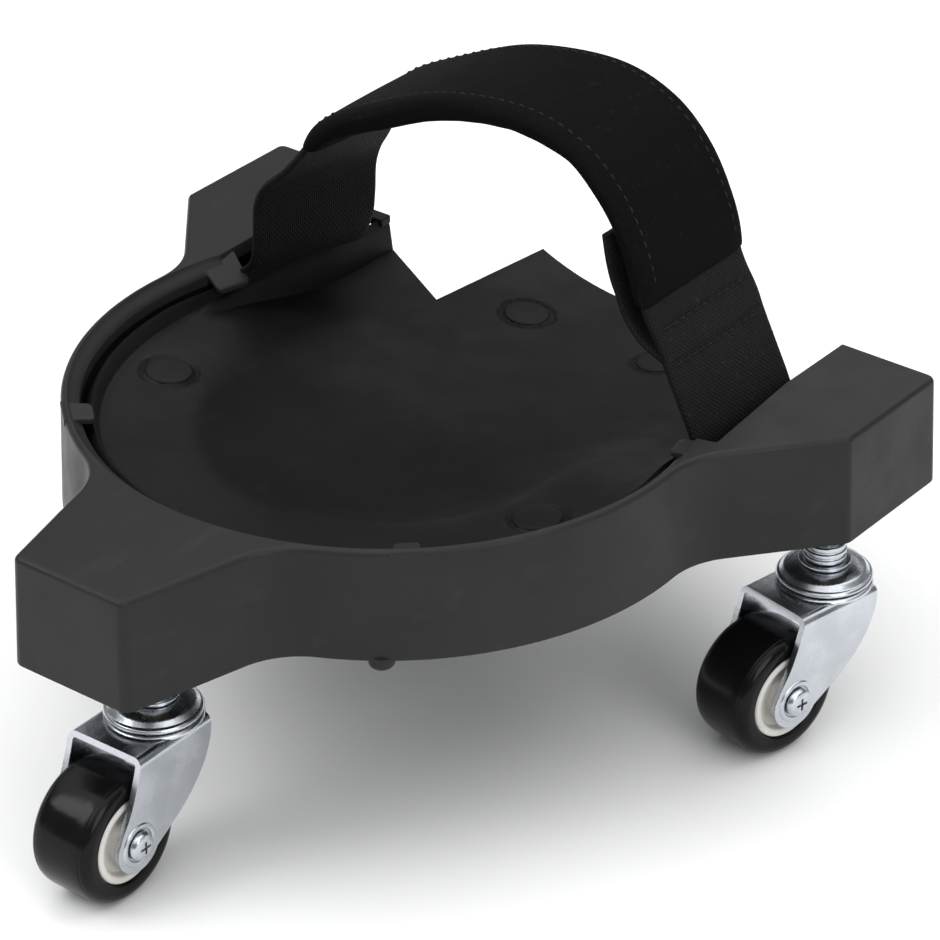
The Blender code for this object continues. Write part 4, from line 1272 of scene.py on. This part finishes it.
def nut_mesh():
    """The axle's hexagon nut, with turned chamfers and a bore."""
    corner_r = 0.0055
    bore = AXLE_R + GAP / 2
    low = -FORK_OUT - 0.0038
    high = -FORK_OUT - GAP
    turns = [math.pi * i / 3 for i in range(6)]
    corners = [(corner_r * math.cos(t), corner_r * math.sin(t)) for t in turns]
    body = helper(loft_mesh([[(x, y, z) for x, y in corners] for z in (low, high)]))
    flat = corner_r * math.cos(math.pi / 6)
    slope = (corner_r - flat) * 0.6
    wide = corner_r + 0.0001
    shape = [(bore, low), (flat * 0.99, low), (wide, low + slope)]
    shape += [(wide, high - slope), (flat * 0.99, high), (bore, high)]
    combine(body, helper(turned_mesh(shape, 60, corner=0)), "INTERSECT")
    soften(body, 0.00012, 2, 25.0)
    mesh = taken_mesh(body)
    mesh.transform(Matrix.Rotation(math.pi / 2, 4, "Y"))
    return mesh


def fork_outline():
    """Side outline of a fork leg as (distance towards the wheel, height), as one smooth line."""
    round_end = arc((TRAIL, WHEEL_R), 0.0090, math.radians(12), math.radians(-150), 18)
    front = [(0.0212, FORK_TOP + 0.002), (0.0218, 0.0470), (0.0240, 0.0400), (0.0272, 0.0325)]
    front += [(0.0310, 0.0265), round_end[0]]
    back = [round_end[-1], (0.0105, 0.0196), (0.0025, 0.0250), (-0.0045, 0.0325)]
    back += [(-0.0082, 0.0400), (-0.0090, 0.0455), (-0.0090, FORK_TOP + 0.002)]
    return curve_through(front, 5) + round_end[1:-1] + curve_through(back, 5)


def fork_mesh():
    """A pressed fork: a folded sheet cut to the legs' outline, with a pressed raceway and rings."""
    bend = 0.0030
    fold = 0.001
    foot = 0.004
    high = FORK_TOP - bend
    under = FORK_TOP - SHEET - fold
    square = math.pi / 2
    section = [Vector((FORK_OUT, foot))] + arc((FORK_OUT - bend, high), bend, 0, square, 6)
    section += arc((-FORK_OUT + bend, high), bend, square, math.pi, 6)
    section += [Vector((-FORK_OUT, foot)), Vector((-FORK_IN, foot))]
    section += arc((-FORK_IN + fold, under), fold, math.pi, square, 4)
    section += arc((FORK_IN - fold, under), fold, square, 0, 4) + [Vector((FORK_IN, foot))]
    sheet = helper(loft_mesh([[(p.x, y, p.y) for p in section] for y in (-0.045, 0.02)]))
    shape = fork_outline()
    cutter = helper(loft_mesh([[(x, -p.x, p.y) for p in shape] for x in (-0.02, 0.02)]))
    combine(sheet, cutter, "INTERSECT")
    top = FORK_TOP + 0.0006
    low = FORK_TOP - 0.001
    raceway = [(0.0112, low), (0.0152, low), (0.0150, FORK_TOP), (0.0143, top)]
    raceway += [(0.0124, top), (0.0116, FORK_TOP - 0.0002)]
    weld(sheet, turned_mesh(raceway, FINE, corner=0.0005))
    cut(sheet, rod_mesh(STEM_R + GAP, FORK_TOP - 0.01, FORK_TOP + 0.01, 32))
    axle = Matrix.Translation((0, -TRAIL, WHEEL_R))
    for sign in (1, -1):
        sunk = sign * (FORK_OUT - 0.001)
        proud = sign * (FORK_OUT + 0.0005)
        ring = [(0.0046, sunk), (0.0074, sunk), (0.0068, proud), (0.0053, proud)]
        weld(sheet, turned_mesh(ring, 40, "X", corner=0.0004), axle)
    cut(sheet, rod_mesh(AXLE_R + GAP, -0.02, 0.02, 32, "X"), axle)
    settle(sheet)
    soften(sheet, 0.00035, 2, 35.0)
    return taken_mesh(sheet)


def screw_mesh():
    """The axle screw: a pan head with a cross slot, and its shank through the wheel."""
    tip = -FORK_OUT - 0.0044
    bolt = [(0, tip), (AXLE_R - 0.0004, tip), (AXLE_R, -FORK_OUT - 0.0040)]
    bolt += [(AXLE_R, FORK_OUT + GAP), (0.0047, FORK_OUT + GAP), (0.0046, FORK_OUT + 0.0012)]
    bolt += [(0.0040, FORK_OUT + 0.0021), (0.0026, FORK_OUT + 0.0026), (0, FORK_OUT + 0.0027)]
    body = helper(turned_mesh(bolt, 48, "X", corner=0.0003))
    for wide, high in ((0.0042, 0.0009), (0.0009, 0.0042)):
        low_corner = (FORK_OUT + 0.0011, -wide / 2, -high / 2)
        cut(body, box_mesh(low_corner, (FORK_OUT + 0.004, wide / 2, high / 2)))
    settle(body, 35.0)
    shade_by_area(body)
    return taken_mesh(body)


def hub_profile():
    """A dished hub with a thick rim."""
    bore = BUSH_R + GAP
    half = FORK_IN - GAP
    rim = HUB_R - GAP
    lip = TREAD_HALF - 0.0002
    dish = TREAD_HALF - 0.0026
    side = [(bore, half - GAP), (0.0058, half - GAP), (0.0062, half - 0.0010), (0.0066, dish)]
    side += [(0.0106, dish), (0.0112, lip - 0.0003), (0.0118, lip), (rim - 0.0006, lip)]
    side.append((rim, lip - 0.0005))
    return side + [(r, -z) for r, z in reversed(side)]


def tyre_profile():
    """Rounded shoulders, with a moulding line near each side of the tread."""
    side = [(HUB_R, TREAD_HALF - 0.0005), (HUB_R + 0.0004, TREAD_HALF)]
    steps = ((0.0034, -0.0001), (0.0020, 0.0004), (0.0010, 0.0013), (0.0005, 0.0022), (0.00055, 0.0025))
    steps += ((0.00032, 0.0028), (0.00008, 0.0042), (0.0, 0.0065))
    side += [(WHEEL_R - down, TREAD_HALF - inwards) for down, inwards in steps]
    return side + [(r, -z) for r, z in reversed(side)]


def balls_mesh():
    """The swivel's loose balls in their ring."""
    bm = bmesh.new()
    count = 20
    ring_r = 0.0104
    for i in range(count):
        turn = 2 * math.pi * i / count
        spot = Matrix.Translation((ring_r * math.cos(turn), ring_r * math.sin(turn), 0.0506))
        bmesh.ops.create_icosphere(bm, subdivisions=2, radius=0.0015, matrix=spot)
    return finish_mesh(bm, 80.0)


def build_casters():
    inner = STEM_R + GAP
    collar = [(inner, 0.0563), (0.0063, 0.0563), (0.0066, 0.0566), (0.0066, 0.0577)]
    collar += [(0.0061, 0.0580), (0.0061, 0.0584), (0.0066, 0.0587), (0.0066, 0.0598)]
    collar += [(0.0061, 0.0601), (0.0061, 0.0605), (0.0065, 0.0608), (0.0065, 0.0620)]
    collar += [(0.0060, 0.0624), (inner, 0.0624)]
    washer = [(inner, 0.0549), (0.0081, 0.0549), (0.0081, 0.0560), (inner, 0.0560)]
    race = [(inner, 0.0532), (0.0072, 0.0532), (0.0120, 0.0522), (0.0138, 0.0506)]
    race += [(0.0138, 0.0499), (0.0149, 0.0499), (0.0150, 0.0506), (0.0145, 0.0513)]
    race += [(0.0139, 0.0515), (0.0126, 0.0532), (0.0103, 0.0542), (0.0078, 0.0546), (inner, 0.0546)]
    half = FORK_IN - GAP
    bore = AXLE_R + GAP
    bush = [(bore, -half), (BUSH_R, -half), (BUSH_R, half), (bore, half)]
    shared = {
        "stem": (stem_mesh(), "bright_zinc"),
        "stem_nut": (turned_mesh(collar, FINE, corner=0.0001), "bright_zinc"),
        "stem_washer": (turned_mesh(washer, FINE), "bright_zinc"),
        "upper_race": (turned_mesh(race, FINE, corner=0.0005), "bright_zinc"),
        "ball_ring": (balls_mesh(), "bearing_steel"),
        "fork": (fork_mesh(), "bright_zinc"),
        "axle_bolt": (screw_mesh(), "bright_zinc"),
        "axle_nut": (nut_mesh(), "bright_zinc"),
        "hub": (turned_mesh(hub_profile(), FINE, "X", corner=0.0004), "hub_plastic"),
        "tyre": (turned_mesh(tyre_profile(), 96, "X", corner=0.0006), "tyre_polyurethane"),
        "wheel_bush": (turned_mesh(bush, 40, "X"), "bearing_steel"),
    }
    fixed = ("stem", "stem_nut", "stem_washer", "upper_race")
    on_axle = ("axle_bolt", "axle_nut", "hub", "tyre", "wheel_bush")
    on_wheel = ("hub", "tyre")
    for name, swivel, axle, direction in caster_places():
        yaw = Matrix.Rotation(math.atan2(direction.y, direction.x), 4, "Z")
        turned_place = Matrix.Translation((swivel.x, swivel.y, 0)) @ yaw
        wheel_place = Matrix.Translation(axle) @ yaw
        for part, (mesh, slot) in shared.items():
            place = wheel_place if part in on_axle else turned_place
            if part in fixed:
                body = "root"
            elif part in on_wheel:
                body = f"{name}_wheel"
            else:
                body = f"{name}_swivel"
            piece = place_object(f"{name}_caster_{part}", mesh.copy(), slot, place=place)
            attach(piece, body)
            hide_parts(f"{name}_{part}")


def dress_kept_nodes():
    """The CAD solids that stay get the full materials of their slots."""
    slots = {part["node"]: part["material_slot"] for part in frame["record"]["subparts"]}
    for node, obj in frame["nodes"].items():
        obj.data.materials.clear()
        obj.data.materials.append(LOOKS[slots[node]])
        if not obj.hide_render:
            obj.data.shade_smooth()
            obj.data.set_sharp_from_angle(angle=math.radians(35))


# ---------------------------------------------------------------- stage


def build_stage():
    bm = bmesh.new()
    bmesh.ops.create_grid(bm, x_segments=2, y_segments=2, size=8.0)
    floor = bpy.data.objects.new("floor", finish_mesh(bm))
    bpy.context.scene.collection.objects.link(floor)
    paper = Look("floor paper", Roughness=0.85)
    paper.to("Base Color", paper.mix(paper.noise(3.0, 3.0), (0.86, 0.86, 0.86), (0.90, 0.90, 0.90)))
    floor.data.materials.append(paper.material)


def add_light(name, place, target, size, power):
    light = bpy.data.lights.new(name, "AREA")
    light.shape = "RECTANGLE"
    light.size, light.size_y = size
    light.energy = power
    obj = bpy.data.objects.new(name, light)
    bpy.context.scene.collection.objects.link(obj)
    obj.location = place
    obj.rotation_euler = (Vector(target) - Vector(place)).to_track_quat("-Z", "Y").to_euler()


def build_lights():
    world = bpy.data.worlds.new("studio")
    bpy.context.scene.world = world
    world.use_nodes = True
    tree = world.node_tree
    place = tree.nodes.new("ShaderNodeTexCoord")
    parts = tree.nodes.new("ShaderNodeSeparateXYZ")
    ramp = tree.nodes.new("ShaderNodeValToRGB")
    tree.links.new(place.outputs["Generated"], parts.inputs[0])
    tree.links.new(parts.outputs["Z"], ramp.inputs[0])
    tree.links.new(ramp.outputs[0], tree.nodes["Background"].inputs["Color"])
    ramp.color_ramp.elements[0].position = 0.48
    ramp.color_ramp.elements[0].color = (0.10, 0.105, 0.11, 1)
    ramp.color_ramp.elements[1].position = 0.86
    ramp.color_ramp.elements[1].color = (1.0, 1.0, 1.0, 1)
    tree.nodes["Background"].inputs["Strength"].default_value = 2.0
    add_light("key", (-0.9, -1.2, 1.5), (0, 0, 0.08), (1.0, 1.0), 14.0)
    add_light("fill", (1.6, -0.5, 0.8), (0, 0, 0.08), (0.9, 0.9), 9.0)
    add_light("back", (-0.4, 1.6, 1.3), (0, 0, 0.1), (1.2, 0.7), 3.0)


def build_camera():
    """The viewing angle of a long lens from the right of the nose, looking down on the cradle."""
    turn = math.radians(38.30113)
    tip = math.radians(30.76066)
    roll = math.radians(-0.36084)
    away = 1.193303
    back = Vector((math.sin(turn) * math.cos(tip), -math.cos(turn) * math.cos(tip), math.sin(tip)))
    right = Vector((math.cos(turn), math.sin(turn), 0))
    up = back.cross(right)
    side = right * math.cos(roll) + up * math.sin(roll)
    top = up * math.cos(roll) - right * math.sin(roll)
    aim = Vector((0, NOSE_Y, TOP_Z)) + side * 0.112952 + top * 0.030799
    camera = bpy.data.objects.new("camera", bpy.data.cameras.new("camera"))
    bpy.context.scene.collection.objects.link(camera)
    basis = Matrix((side, top, back)).transposed().to_4x4()
    camera.matrix_world = Matrix.Translation(aim + back * away) @ basis
    camera.data.lens = 163.504
    camera.data.sensor_width = 36.0
    camera.data.clip_start = 0.01
    bpy.context.scene.camera = camera


def main():
    build_cradle()
    build_cup()
    build_pegs()
    build_pad()
    build_webbing()
    sewn_rows()
    build_casters()
    dress_kept_nodes()
    build_stage()
    build_lights()
    build_camera()
    bpy.context.scene.view_settings.view_transform = "Standard"


main()
